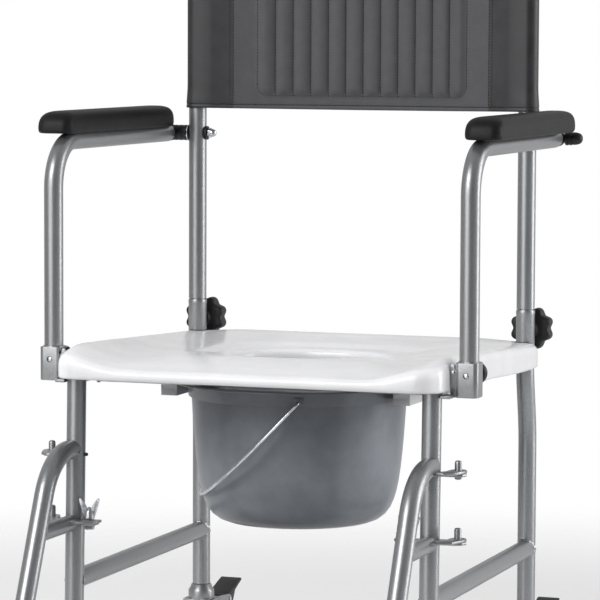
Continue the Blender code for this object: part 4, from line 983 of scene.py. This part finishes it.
lipFoot = [(-0.0030, 0.4690), (-0.0022, 0.4682), (-0.0008, 0.4682), (0.0, 0.4690)]
seatRings = [seatRing(0, inset, onDish(drop)) for inset, drop in lip]
seatRings += [seatRing(share, 0, onDish(0)) for share in topShares]
seatRings += [seatRing(1, inset, onRim(drop)) for inset, drop in rolled]
seatRings += [seatRing(1, inset, skirt(height)) for inset, height in hem]
seatRings += [seatRing(1, inset, onRim(drop)) for inset, drop in inRoll]
seatRings += [seatRing(share, 0, onDish(seatSet["thickness"])) for share in underShares]
seatRings += [seatRing(0, inset, onDish(drop)) for inset, drop in lipBack]
seatRings += [seatRing(0, inset, level(height)) for inset, height in lipFoot]
seat = drawLoft("seat", seatRings + seatRings[:1])
# the rear corners are notched round the posts and their sockets
notchSet = {"x": 0.2146, "half": 0.0126, "front": -0.0132, "rear": 0.0600, "corner": 0.0115,
            "bottom": 0.400, "height": 0.16}
notch = roundedBox((-notchSet["half"], notchSet["front"]), (notchSet["half"], notchSet["rear"]),
                   notchSet["corner"], 6)
for x in (notchSet["x"], -notchSet["x"]):
    cutWith(seat, drawPlate("notch", at(x, 0, notchSet["bottom"]), xAxis, yAxis, notch,
                            ((0, 0, notchSet["height"]), None)))
dress(seat, seatPlastic, "frame", ["seat"], 40)

railSet = {"front": -0.275, "rear": -0.030, "bail": -0.192, "bailTop": 0.4452,
           "section": [(0.1335, 0.4390), (0.1540, 0.4390), (0.1540, 0.4830), (0.1480, 0.4830),
                       (0.1480, 0.4640), (0.1335, 0.4640), (0.1335, 0.4612), (0.1505, 0.4612),
                       (0.1505, 0.4535), (0.1335, 0.4535)]}
pailRail = drawPlate("pailRail", at(0, railSet["front"], 0), xAxis, zAxis, railSet["section"],
                     ((0, railSet["rear"] - railSet["front"], 0), None))
# the bail swings up under the rail behind its front stop
cutWith(pailRail, drawBlock("bailRoom", at(0.125, railSet["bail"], 0.430),
                            at(0.165, railSet["rear"] + past, railSet["bailTop"])))
softenEdges(pailRail, 0.0007)
dressPair(pailRail, seatPlastic, "frame")
print("seat and pail rails ready")


# Pail: thin-walled bucket whose flange runs in the rails, with its wire bail leaning on it
pailSet = {"y": -0.220, "wall": 0.0022, "sides": 96}
outer = [(0.1272, 0.4400), (0.1262, 0.4280), (0.1249, 0.4080), (0.1236, 0.3900),
         (0.1222, 0.3740), (0.1203, 0.3560), (0.1180, 0.3400), (0.1155, 0.3280),
         (0.1125, 0.3180), (0.1085, 0.3090), (0.1030, 0.3015), (0.0960, 0.2962),
         (0.0880, 0.2932), (0.0790, 0.2918), (0.0620, 0.2914), (0.0300, 0.2913)]
inner = [(radius - pailSet["wall"], height + pailSet["wall"] * 0.8)
         for radius, height in outer[:0:-1]]
rimOut = [(0.1262, 0.4410), (0.1270, 0.4440), (0.1270, 0.4570), (0.1276, 0.4586),
          (0.1290, 0.4592), (0.1474, 0.4588), (0.1481, 0.4578), (0.1480, 0.4565),
          (0.1474, 0.4559), (0.1314, 0.4558), (0.1310, 0.4550), (0.1310, 0.4408),
          (0.1305, 0.4400)]
pailRound = circleSteps(pailSet["sides"])
pail = drawLoft("pail", [[at(radius * c, pailSet["y"] + radius * s, height) for c, s in pailRound]
                         for radius, height in inner + rimOut + outer], capped=True)

bailSet = {"turn": 19.0, "drop": 46.6, "pivot": 0.446, "wire": 0.0019, "wireSides": 16,
           "end": 0.1250, "reach": 0.137, "depth": 0.169, "corner": 0.006, "cornerSteps": 6,
           "roundSteps": 48, "ear": 0.1295, "earThick": 0.0034, "earCorner": 0.0016}
pivot = at(0, pailSet["y"], bailSet["pivot"])
turn = math.radians(bailSet["turn"])
drop = math.radians(bailSet["drop"])
bailAxis = Vector((math.sin(turn), -math.cos(turn), 0))
bailDown = (Vector((-math.cos(turn), -math.sin(turn), 0)) * math.cos(drop)
            - zAxis * math.sin(drop))
bendAxis = -bailAxis.cross(bailDown)
# the bail's ends turn in two square ears on the collar
earOutline = roundedBox((-0.0060, -0.0042), (0.0060, 0.0048), bailSet["earCorner"], 3)
for way in (1, -1):
    ear = drawPlate("bailEar", pivot + way * bailAxis * bailSet["ear"], bailAxis.cross(zAxis),
                    zAxis, earOutline, (way * bailAxis * bailSet["earThick"], None))
    joinInto(pail, softenEdges(ear, 0.0006))
dress(pail, pailPlastic, "pail_body", ["pail"], 40)
reach, corner = bailSet["reach"], bailSet["corner"]
straight = bailSet["depth"] - reach
outward = bailAxis * (reach - corner)
endRun = bailAxis * (reach - corner - bailSet["end"])
sideRun = bailDown * (straight - corner)
bail = drawTube(
    "bail", pivot + bailAxis * bailSet["end"], bailAxis, bailSet["wire"],
    [("go", endRun),
     ("bend", pivot + outward + bailDown * corner, bendAxis, 90, bailSet["cornerSteps"]),
     ("go", sideRun),
     ("bend", pivot + bailDown * straight, bendAxis, 180, bailSet["roundSteps"]),
     ("go", -sideRun),
     ("bend", pivot - outward + bailDown * corner, bendAxis, 90, bailSet["cornerSteps"]),
     ("go", endRun)], 0, bailSet["wireSides"])
dress(bail, zincPlate, "bail", ["pail_bail"])
print("pail and bail ready")


# Back sling: coated sleeves over both posts, and a slack woven middle sewn into upright channels
slingSet = {"bottom": 0.7712, "top": 0.9400, "sleeve": 0.0130, "edge": 0.196, "slack": 0.0165,
            "hang": 2.4, "stuffing": 0.55, "set": 0.0020, "thick": 0.0046, "channels": 12,
            "quilt": 0.136, "quiltLow": 0.7868, "quiltHigh": 0.9240, "corner": 0.013,
            "depth": 0.0040, "seamWidth": 0.0075, "fullness": 0.6, "border": 0.168,
            "flare": 0.11, "flareHeight": 0.030, "droop": -0.0010, "droopHeight": 0.012,
            "near": (0.150, 0.046), "columns": 10, "borderColumns": 12, "sleeveSteps": 18,
            "backColumns": 48}
channelPitch = 2.0 * slingSet["quilt"] / slingSet["channels"]


def slingFace(x):
    # how the slack middle hangs back from the posts, seen from above
    slack = slingSet["slack"] * max(0.0, 1.0 - (abs(x) / slingSet["edge"]) ** slingSet["hang"])
    return (-slingSet["sleeve"] + slingSet["set"]
            + slack * (1.0 + slingSet["stuffing"] * slingSet["sleeve"] / slingSet["slack"]))


def quiltSwell(x, z):
    # how far a point of the face stands out, between the stitch lines of the quilted field
    halfHigh = (slingSet["quiltHigh"] - slingSet["quiltLow"]) / 2
    middle = (slingSet["quiltHigh"] + slingSet["quiltLow"]) / 2
    corner = slingSet["corner"]
    overX = abs(x) - slingSet["quilt"] + corner
    overZ = abs(z - middle) - halfHigh + corner
    within = corner - math.hypot(max(overX, 0), max(overZ, 0)) - min(max(overX, overZ), 0)
    if within <= 0:
        return 0.0
    fullness = slingSet["fullness"]
    ends = min(within / slingSet["seamWidth"], 1.0) ** fullness
    phase = ((x + slingSet["quilt"]) / channelPitch) % 1.0
    return slingSet["depth"] * ends * max(math.sin(math.pi * phase), 0.0) ** fullness


def slingColumns():
    # where the front's points stand across: wider apart in the borders than in the channels
    edge, reach, borderColumns = slingSet["edge"], slingSet["quilt"], slingSet["borderColumns"]
    step = (edge - reach) / borderColumns
    count = slingSet["channels"] * slingSet["columns"]
    return ([-edge + step * i for i in range(borderColumns)]
            + [-reach + 2.0 * reach * i / count for i in range(count)]
            + [reach + step * i for i in range(borderColumns + 1)])


def slingRing(z, inset=0.0):
    # one level of the sling: the front, round one sleeve, the back, round the other sleeve
    edge, thick = slingSet["edge"], slingSet["thick"]
    sleeveThick = 2.0 * (slingSet["sleeve"] - slingSet["set"])
    flare = 1.0 + slingSet["flare"] * (1.0 - ramp(z, slingSet["bottom"], slingSet["flareHeight"]))
    droop = slingSet["droop"] * (1.0 - ramp(z, slingSet["bottom"], slingSet["droopHeight"]))
    ring = [at(x, slingFace(x) + inset - quiltSwell(x, z), z + droop * (1.0 - (x / edge) ** 2))
            for x in slingColumns()]
    for side in (1, -1):
        radius = slingSet["sleeve"] * flare - inset
        for i in range(slingSet["sleeveSteps"] + 1):
            turn = math.radians(-90.0 + 180.0 * i / slingSet["sleeveSteps"])
            ring.append(at(side * (halfWidth + radius * math.cos(turn)),
                           side * radius * math.sin(turn), z))
        if side == 1:
            for i in range(slingSet["backColumns"] + 1):
                x = edge - 2.0 * edge * i / slingSet["backColumns"]
                depth = thick + ramp(abs(x), *slingSet["near"]) * (sleeveThick - thick)
                ring.append(at(x, slingFace(x) + depth - inset, z))
    return ring


# levels from the turned-in hem up through the stitch line; the upper hem mirrors the lower
hemLevels = [(0.7860, 0.0018), (0.7745, 0.0018), (0.7716, 0.0015), (0.7710, 0.0010),
             (0.7712, 0.0004), (0.7718, 0.0), (0.7736, 0.0), (0.7746, 0.0001), (0.7752, 0.0006),
             (0.7757, 0.0006), (0.7763, 0.0001), (0.7775, 0.0), (0.7820, 0.0), (0.7862, 0.0),
             (0.7874, 0.0), (0.7886, 0.0), (0.7900, 0.0), (0.7918, 0.0), (0.7940, 0.0),
             (0.7970, 0.0)]
levels = hemLevels + [(0.8020 + 0.0076 * i, 0.0) for i in range(15)]
levels += [(slingSet["bottom"] + slingSet["top"] - z, inset) for z, inset in hemLevels[::-1]]
sling = drawLoft("backSling", [slingRing(z, inset) for z, inset in levels], capped=True)
dress(sling, slingCloth, "backrest", ["backrest_sling"], 60)
sling.data.materials.append(sleeveVinyl)
for face in sling.data.polygons:
    face.material_index = int(abs(face.center.x) > slingSet["border"])

stitchSet = {"pitch": 0.0038, "length": 0.0027, "radius": 0.00052, "fromLine": 0.0004,
             "bendEvery": 0.008, "hem": 0.0044, "hemReach": 0.190, "hemParts": 48,
             "edge": 0.0022, "edgeEnd": 0.008}


def sewLine(name, points):
    # one stitch, modelled once and copied along a line
    deselectAll()
    bpy.ops.mesh.primitive_uv_sphere_add(segments=8, ring_count=5, radius=1.0)
    stitch = closeShape(started("stitch"))
    radius = stitchSet["radius"]
    size = Matrix.Diagonal((radius, radius, stitchSet["length"] / 2, 1.0))
    work = bmesh.new()
    travelled = 0.0
    for a, b in zip(points, points[1:]):
        span = b - a
        turn = span.to_track_quat("Z", "Y").to_matrix().to_4x4()
        while travelled < span.length:
            middle = a + span * (travelled / span.length)
            before = len(work.verts)
            work.from_mesh(stitch.data)
            work.verts.ensure_lookup_table()
            bmesh.ops.transform(work, verts=work.verts[before:],
                                matrix=Matrix.Translation(middle) @ turn @ size)
            travelled += stitchSet["pitch"]
        travelled -= span.length
    bmesh.ops.recalc_face_normals(work, faces=work.faces)
    work.to_mesh(stitch.data)
    work.free()
    stitch.name = name
    return stitch


def onSling(x, z, proud=0.0001):
    return at(x, slingFace(x) - proud, z)


low = slingSet["quiltLow"] + stitchSet["fromLine"]
high = slingSet["quiltHigh"] - stitchSet["fromLine"]
seams = []
for i in range(1, slingSet["channels"]):
    x = -slingSet["quilt"] + channelPitch * i
    seams.append([onSling(x, low), onSling(x, high)])
outline = roundedBox((-slingSet["quilt"], low), (slingSet["quilt"], high), slingSet["corner"], 6)
finer = []
for (xA, zA), (xB, zB) in zip(outline, outline[1:] + outline[:1]):
    parts = max(1, int(math.hypot(xB - xA, zB - zA) / stitchSet["bendEvery"]))
    finer += [onSling(xA + (xB - xA) * i / parts, zA + (zB - zA) * i / parts)
              for i in range(parts)]
seams.append(finer + finer[:1])
hemReach, hemParts = stitchSet["hemReach"], stitchSet["hemParts"]
for z in (slingSet["bottom"] + stitchSet["hem"], slingSet["top"] - stitchSet["hem"]):
    seams.append([onSling(-hemReach + 2.0 * hemReach * i / hemParts, z, -0.0002)
                  for i in range(hemParts + 1)])
for x in (-slingSet["border"], slingSet["border"]):
    for offset in (-stitchSet["edge"], stitchSet["edge"]):
        seams.append([onSling(x + offset, slingSet["bottom"] + stitchSet["edgeEnd"]),
                      onSling(x + offset, slingSet["top"] - stitchSet["edgeEnd"])])
stitching = joinInto(*[sewLine("slingStitching", seam) for seam in seams])
dress(stitching, sewingThread, "backrest", (), 60)
print("sling and its stitching ready")


# Leg rests: the tube bends over from the leg's front and slopes down to the telescopic footrest
restSet = {"x": 0.2165, "startY": -0.3925, "top": 0.3865, "bendY": -0.406, "bend": 0.075,
           "bendSteps": 14, "slope": 65.0, "end": 0.215, "saddle": (0.355, 0.415),
           "saddleRadius": 0.0117, "stub": 0.3010, "stubY": -0.4035, "stubRadius": 0.0095,
           "stubShort": 0.0075, "stubWeld": 0.0015, "boreTop": 0.335, "boreLength": 0.075,
           "boreIn": 0.0007}
hingeSet = {"pin": (0.2455, -0.385), "hole": 0.0043, "stud": (0.193, -0.399), "edge": 0.0005}
slope = math.radians(restSet["slope"])
downSlope = Vector((0, -math.cos(slope), -math.sin(slope)))
restX, topZ = restSet["x"], restSet["top"]


def slopePoint(height):
    # a point of the sloping run's centre line
    endY = restSet["bendY"] - restSet["bend"] * math.sin(slope)
    endZ = topZ - restSet["bend"] * (1.0 - math.cos(slope))
    return at(restX, endY - (endZ - height) / math.tan(slope), height)


def hingePlate(name, bottom, outline, drill=None):
    # a flat plate of a leg rest's hinge, its edges eased; drill is where the hole for its pin
    # starts and ends
    plate = drawPlate(name, at(0, 0, bottom), xAxis, yAxis, outline, ((0, 0, plateGauge), None))
    if drill:
        cutWith(plate, drawTurned("hole", at(*hingeSet["pin"], 0), zAxis,
                                  [(hingeSet["hole"], height) for height in drill]))
    return softenEdges(plate, hingeSet["edge"])


bendCentre = at(restX, restSet["bendY"], topZ - restSet["bend"])
bendEnd = slopePoint(topZ - restSet["bend"] * (1.0 - math.cos(slope)))
legRest = drawTube("legRest", at(restX, restSet["startY"], topZ), -yAxis, tubeRadius,
                   [("go", (0, restSet["bendY"] - restSet["startY"], 0)),
                    ("bend", bendCentre, -xAxis, restSet["slope"], restSet["bendSteps"]),
                    ("go", slopePoint(restSet["end"]) - bendEnd)])
# its upper end is saddled to the front leg, and two plates with a common corner reach its pins
low, high = restSet["saddle"]
cutWith(legRest, drawTube("saddle", at(halfWidth, legY(low), low), zAxis, restSet["saddleRadius"],
                          [("go", (0, legY(high) - legY(low), high - low))], 0, 48))
plateCorner = [(0.2390, -0.3765), (0.2455, -0.3745), (0.2520, -0.3770), (0.2555, -0.3840),
               (0.2545, -0.3920)]
plateNeck = [(0.2345, -0.3960), (0.2365, -0.3830)]
upperPlate = hingePlate("upperPlate", 0.3803, plateCorner + [
    (0.2480, -0.4100), (0.2380, -0.4180), (0.2262, -0.4180), (0.2262, -0.4040),
    (0.2300, -0.4030)] + plateNeck, (0.37, 0.39))
lowerPlate = hingePlate("lowerPlate", 0.3035, plateCorner + [
    (0.2470, -0.4120), (0.2320, -0.4210), (0.1990, -0.4210), (0.1830, -0.4150),
    (0.1785, -0.4080), (0.1785, -0.3965), (0.1880, -0.3965), (0.1880, -0.4010),
    (0.1897, -0.4030), (0.1930, -0.4040), (0.1961, -0.4030), (0.1975, -0.4010),
    (0.1975, -0.3965), (0.2012, -0.3965), (0.2015, -0.4032), (0.2300, -0.4032)] + plateNeck,
    (0.29, 0.32))
stubStart = at(restX, restSet["stubY"], restSet["stub"])
stubEnd = slopePoint(restSet["stub"]) + yAxis * (tubeRadius / math.sin(slope))
stub = drawTube("stub", stubStart, -yAxis, restSet["stubRadius"],
                [("go", stubEnd - stubStart - yAxis * restSet["stubShort"])], 0)
# the stub stops in the sloping tube's wall, clear of the tube that slides in it
cutWith(stub, drawTube("bore", slopePoint(restSet["boreTop"]), downSlope,
                       tubeRadius - restSet["boreIn"],
                       [("go", downSlope * restSet["boreLength"])], 0, 48))


def ontoSlope(flat):
    # how far the sloping tube's surface stands from the stub's end, round the stub
    across = min(abs(flat.x), tubeRadius * 0.99)
    depth = math.sqrt(tubeRadius ** 2 - across ** 2) / math.sin(slope)
    return slopePoint(stubEnd.z + flat.z).y + depth - stubEnd.y


stubWeld = drawWeld("stubWeld", stubEnd, yAxis, restSet["stubRadius"], restSet["stubWeld"],
                    ontoSlope)
joinInto(legRest, upperPlate, lowerPlate, stub, stubWeld)
dressPair(legRest, silverPaint, "hanger_{}", ["leg_rest_{}"])

footSet = {"top": 0.280, "run": 0.112, "bend": 0.035, "bendSteps": 10, "end": 0.742,
           "radius": 0.0092}
footAxis = at(restX, 0, footSet["run"])
cornerPoint = slopePoint(footSet["run"])
tangent = footSet["bend"] * math.tan(slope / 2)
bendStart = cornerPoint - downSlope * tangent
bendCentre = Vector((restX, cornerPoint.y - tangent, footSet["run"] + footSet["bend"]))
end = footSet["end"]
footTube = drawTube("footrestTube", slopePoint(footSet["top"]), downSlope, footSet["radius"],
                    [("go", bendStart - slopePoint(footSet["top"])),
                     ("bend", bendCentre, xAxis, restSet["slope"], footSet["bendSteps"]),
                     ("go", (0, postY - end - bendCentre.y, 0))])
footPlug = drawTurned("footPlug", footAxis, -yAxis, [
    (0.0060, end - 0.004), (0.0060, end - 0.0002), (0.0086, end), (0.0086, end + 0.0010),
    (0.0060, end + 0.0018), (0.0020, end + 0.0020)])
dressPair(footPlug, blackNylon, "footrest_{}")
dressPair(footTube, zincPlate, "footrest_{}", ["footrest_tube_{}"])

plateSet = {"inner": 0.045, "outer": 0.2165, "front": -0.750, "rear": -0.606, "bottom": 0.1085,
            "top": 0.1145, "corners": (0.030, 0.004, 0.004, 0.022), "rim": 0.0035,
            "sunk": 0.0012, "ribs": 9, "firstRib": 0.026, "ribPitch": 0.0145,
            "ribHalf": 0.0022, "ribEnd": 0.018, "ribFoot": 0.0030, "ribTop": 0.0002,
            "sleeveBore": 0.0096, "plateBore": 0.0110}
outline = roundedBox((plateSet["inner"], plateSet["front"]),
                     (plateSet["outer"], plateSet["rear"]), plateSet["corners"], 7)
footPlate = drawPlate("footPlate", at(0, 0, plateSet["bottom"]), xAxis, yAxis, outline,
                      ((0, 0, plateSet["top"] - plateSet["bottom"] - plateSet["sunk"]), None))
softenEdges(footPlate, 0.0015, 3)
openEdit(footPlate)
pickFaces(footPlate, lambda normal: normal.z > 0.9)
bpy.ops.mesh.inset(thickness=plateSet["rim"])
bpy.ops.transform.translate(value=(0, 0, -plateSet["sunk"]))
closeShape(footPlate)
ribs = []
for i in range(plateSet["ribs"]):
    ribX = plateSet["inner"] + plateSet["firstRib"] + plateSet["ribPitch"] * i
    low = at(ribX - plateSet["ribHalf"], plateSet["front"] + plateSet["ribEnd"],
             plateSet["top"] - plateSet["ribFoot"])
    high = at(ribX + plateSet["ribHalf"], plateSet["rear"] - plateSet["ribEnd"],
              plateSet["top"] - plateSet["ribTop"])
    ribs.append(drawBlock("rib", low, high, 0.0009))
plateSleeve = drawTurned("plateSleeve", footAxis, -yAxis, [
    (0.0121, 0.6140), (0.0130, 0.6148), (0.0130, 0.7392), (0.0121, 0.7400)], 40)
for piece, radius in ((plateSleeve, plateSet["sleeveBore"]), (footPlate, plateSet["plateBore"])):
    cutWith(piece, drawTurned("bore", footAxis, -yAxis, [(radius, 0.60), (radius, 0.76)], 40))
joinInto(footPlate, plateSleeve, *ribs)
dressPair(footPlate, blackNylon, "plate_{}", ["footplate_{}"])
print("leg rests, footrests and footplates ready")


# Leg rest hinges on the frame: upper lug, lower bracket, their pins, and the wing nut's stud
pinAt, studAt = at(*hingeSet["pin"], 0), at(*hingeSet["stud"], 0)
earOutline = [(0.2455, -0.3955), (0.2525, -0.3925), (0.2555, -0.3850), (0.2525, -0.3775),
              (0.2455, -0.3755)]
lug = hingePlate("hangerLug", 0.3765, [(0.2240, -0.3955)] + earOutline + [(0.2240, -0.3795)])
lugPin = drawTurned("lugPin", pinAt, zAxis, [
    (0.0030, 0.3730), (0.0040, 0.3740), (0.0040, 0.3915), (0.0036, 0.3930), (0.0026, 0.3939),
    (0.0010, 0.3942)], 24)
joinInto(lug, lugPin)
dressPair(lug, silverPaint, "frame", ["hanger_lug_{}"])

bracket = hingePlate("hangerBracket", 0.3000,
                     [(0.1840, -0.4080), (0.1990, -0.4085), (0.2030, -0.4000)] + earOutline
                     + [(0.2260, -0.3720), (0.2000, -0.3720), (0.1840, -0.3900)])
bracketPin = drawTurned("bracketPin", pinAt, zAxis, [
    (0.0034, 0.2990), (0.0040, 0.2998), (0.0040, 0.3165), (0.0035, 0.3179), (0.0024, 0.3186),
    (0.0010, 0.3188)], 24)
bracketWeld = drawWeld("bracketWeld", at(halfWidth, legY(0.3030), 0.3030), zAxis,
                       tubeRadius + 0.0002, 0.0012)
joinInto(bracket, bracketPin, bracketWeld)
dressPair(bracket, silverPaint, "frame", ["hanger_bracket_{}"])

stud = drawTurned("bracketStud", studAt, zAxis,
                  [(0.0024, 0.2950), (0.0030, 0.2956), (0.0030, 0.3040)]
                  + threadFrom(0.3045, 30) + [(0.0022, 0.3200), (0.0012, 0.3208)], 20)
studNut = drawTurned("studNut", studAt, zAxis, [
    (0.0056, 0.2950), (0.0062, 0.2956), (0.0062, 0.2993), (0.0058, 0.2998)], 6)
joinInto(stud, studNut)
dressPair(stud, zincPlate, "frame")

wingNut = drawTurned("wingNut", studAt, zAxis, [
    (0.0056, 0.3069), (0.0062, 0.3075), (0.0062, 0.3092), (0.0057, 0.3110), (0.0054, 0.3150),
    (0.0048, 0.3172), (0.0040, 0.3180), (0.0033, 0.3180)], 28)
wingOutline = [(0.0030, 0.3078), (0.0062, 0.3086), (0.0077, 0.3117), (0.0093, 0.3170),
               (0.0112, 0.3235), (0.0126, 0.3284), (0.0125, 0.3306), (0.0114, 0.3314),
               (0.0099, 0.3304), (0.0070, 0.3268), (0.0040, 0.3222), (0.0024, 0.3180),
               (0.0024, 0.3130)]
wingThick = 0.0026
for way in (1, -1):
    wing = drawPlate("wing", studAt - yAxis * wingThick / 2, xAxis, zAxis,
                     [(way * across, up) for across, up in wingOutline],
                     ((0, wingThick, 0), None))
    joinInto(wingNut, softenEdges(wing, 0.0009, 3))
dressPair(wingNut, zincPlate, "nut_{}", ["wing_nut_{}"])

boltTip = drawTurned("legBoltTip", at(0, -0.3870, 0.3800), -xAxis, [
    (0.0021, -0.2050), (0.0021, -0.2018), (0.0018, -0.2002), (0.0008, -0.1996)], 20)
dressPair(boltTip, blackNylon, "frame")
print("leg rest hinges and wing nuts ready")


# Castors: pressed fork on a stem, rubber tyre on a nylon hub, and a foot brake at the rear
castorSet = {"wheel": 0.0625, "trail": 0.038, "inner": 0.0165, "top": 0.165, "earY": 0.0525,
             "earZ": 0.1365, "bridge": (0.0158, 0.1425, 0.1460), "pedalHalf": 0.0140,
             "sides": 96}
inner, wide = castorSet["inner"], castorSet["inner"] + plateGauge
forkProfile = [(0.0150, 0.1440), (0.0163, 0.1446), (0.0165, 0.1460), (0.0165, 0.1555),
               (0.0160, 0.1572), (0.0146, 0.1590), (0.0124, 0.1640), (0.0119, 0.1644),
               (0.0056, 0.1644), (0.0055, 0.1700), (0.0055, 0.1990), (0.0048, 0.1998)]
# a cheek of the fork, and the corner of it that is drawn out to carry the rear castors' brake
cheekOutline = [(-0.0160, 0.1460), (-0.0158, 0.1400), (-0.0148, 0.1310), (-0.0125, 0.1260),
                (0.0240, 0.0595), (0.0275, 0.0545), (0.0330, 0.0515), (0.0400, 0.0507),
                (0.0462, 0.0535), (0.0495, 0.0590), (0.0500, 0.0680), (0.0480, 0.0760),
                (0.0365, 0.1135), (0.0350, 0.1180)]
plainCorner = [(0.0320, 0.1290), (0.0260, 0.1400), (0.0160, 0.1460)]
brakeCorner = [(0.0480, 0.1280), (0.0560, 0.1300), (0.0590, 0.1345), (0.0580, 0.1400),
               (0.0520, 0.1430), (0.0160, 0.1460)]
hubProfile = [(0.0044, 0.0150), (0.0098, 0.0150), (0.0112, 0.0146), (0.0120, 0.0132),
              (0.0128, 0.0098), (0.0150, 0.0082), (0.0300, 0.0074), (0.0420, 0.0070),
              (0.0440, 0.0076), (0.0450, 0.0094), (0.0462, 0.0104), (0.0474, 0.0106),
              (0.0480, 0.0098)]
tyreProfile = [(0.0468, 0.0098), (0.0476, 0.0110), (0.0490, 0.0115), (0.0550, 0.0114),
               (0.0580, 0.0108), (0.0601, 0.0094), (0.0615, 0.0072), (0.0623, 0.0042),
               (0.0625, 0.0014)]
pedalOutline = [(0.0035, -0.0030), (0.0120, -0.0060), (0.0200, -0.0085), (0.0235, -0.0086),
                (0.0260, -0.0070), (0.0295, -0.0010), (0.0340, 0.0060), (0.0450, 0.0108),
                (0.0560, 0.0150), (0.0572, 0.0168), (0.0562, 0.0186), (0.0450, 0.0158),
                (0.0330, 0.0120), (0.0180, 0.0078), (0.0035, 0.0040)]


def drawRoundWheel(name, halfProfile, axleY):
    # a closed profile of (radius, half width) carried round the axle
    profile = halfProfile + [(radius, -across) for radius, across in halfProfile[::-1]]
    wheelRound = circleSteps(castorSet["sides"])
    return drawLoft(name, [[at(halfWidth + across, axleY + radius * c,
                               castorSet["wheel"] + radius * s) for c, s in wheelRound]
                           for radius, across in profile + profile[:1]])


def drawPin(name, place, radius, chamfer, proud, sides):
    # a pin across the fork; its chamfered ends stand proud of both cheeks
    near, far = halfWidth - wide, halfWidth + wide
    tip, shoulder = proud
    return drawTurned(name, place, xAxis,
                      [(radius - chamfer, near - tip), (radius, near - shoulder),
                       (radius, far + shoulder), (radius - chamfer, far + tip)], sides)


def drawCastor(label, stemY, braked):
    body = "castor_" + label + "_{}"
    fork = drawTurned(label + "Fork", at(halfWidth, stemY, 0), zAxis, forkProfile)
    cheekCorner = brakeCorner if braked else plainCorner
    for side in (inner, -wide):
        cheek = drawPlate("cheek", at(halfWidth + side, stemY, 0), yAxis, zAxis,
                          cheekOutline + cheekCorner, ((plateGauge, 0, 0), None))
        joinInto(fork, softenEdges(cheek, 0.0007))
    reach, low, high = castorSet["bridge"]
    joinInto(fork, drawBlock("bridge", at(halfWidth - wide, stemY - reach, low),
                             at(halfWidth + wide, stemY + reach, high), 0.0009))
    dressPair(fork, silverPaint, body, ["castor_fork_" + label + "_{}"])

    axleY = stemY + castorSet["trail"]
    axleAt = at(0, axleY, castorSet["wheel"])
    axle = drawPin(label + "Axle", axleAt, 0.0040, 0.0004, (0.0018, 0.0010), 24)
    for first, way in ((halfWidth + wide, 1), (halfWidth - wide, -1)):
        joinInto(axle, drawTurned("axleNut", axleAt, xAxis, [
            (0.0064, first), (0.0068, first + way * 0.0003), (0.0068, first + way * 0.0008),
            (0.0060, first + way * 0.0014)], 6))
    dressPair(axle, zincPlate, body)

    wheelBody = "wheel_" + label + "_{}"
    hub = drawRoundWheel(label + "Hub", hubProfile, axleY)
    dressPair(hub, hubNylon, wheelBody, ["castor_wheel_" + label + "_{}"])
    tyre = drawRoundWheel(label + "Tyre", tyreProfile, axleY)
    dressPair(tyre, greyRubber, wheelBody, (), 50)
    if not braked:
        return

    earY, earZ = stemY + castorSet["earY"], castorSet["earZ"]
    brakePin = drawPin("brakePin", at(0, earY, earZ), 0.0025, 0.0005, (0.0010, 0.0006), 20)
    dressPair(brakePin, zincPlate, body)
    pedal = drawPlate("brakePedal", at(halfWidth - castorSet["pedalHalf"], earY, earZ), yAxis,
                      zAxis, pedalOutline, ((2.0 * castorSet["pedalHalf"], 0, 0), None))
    softenEdges(pedal, 0.0008, 2, 30)
    joinInto(pedal, drawTurned("pedalEye", at(halfWidth, earY, earZ), xAxis, [
        (0.0055, -0.0145), (0.0060, -0.0140), (0.0060, 0.0140), (0.0055, 0.0145)], 28))
    dressPair(pedal, blackNylon, "pedal_{}", ["brake_pedal_rear_{}"])


drawCastor("front", legY(castorSet["top"]), False)
drawCastor("rear", frameSet["rearKick"], True)
print("castors ready")
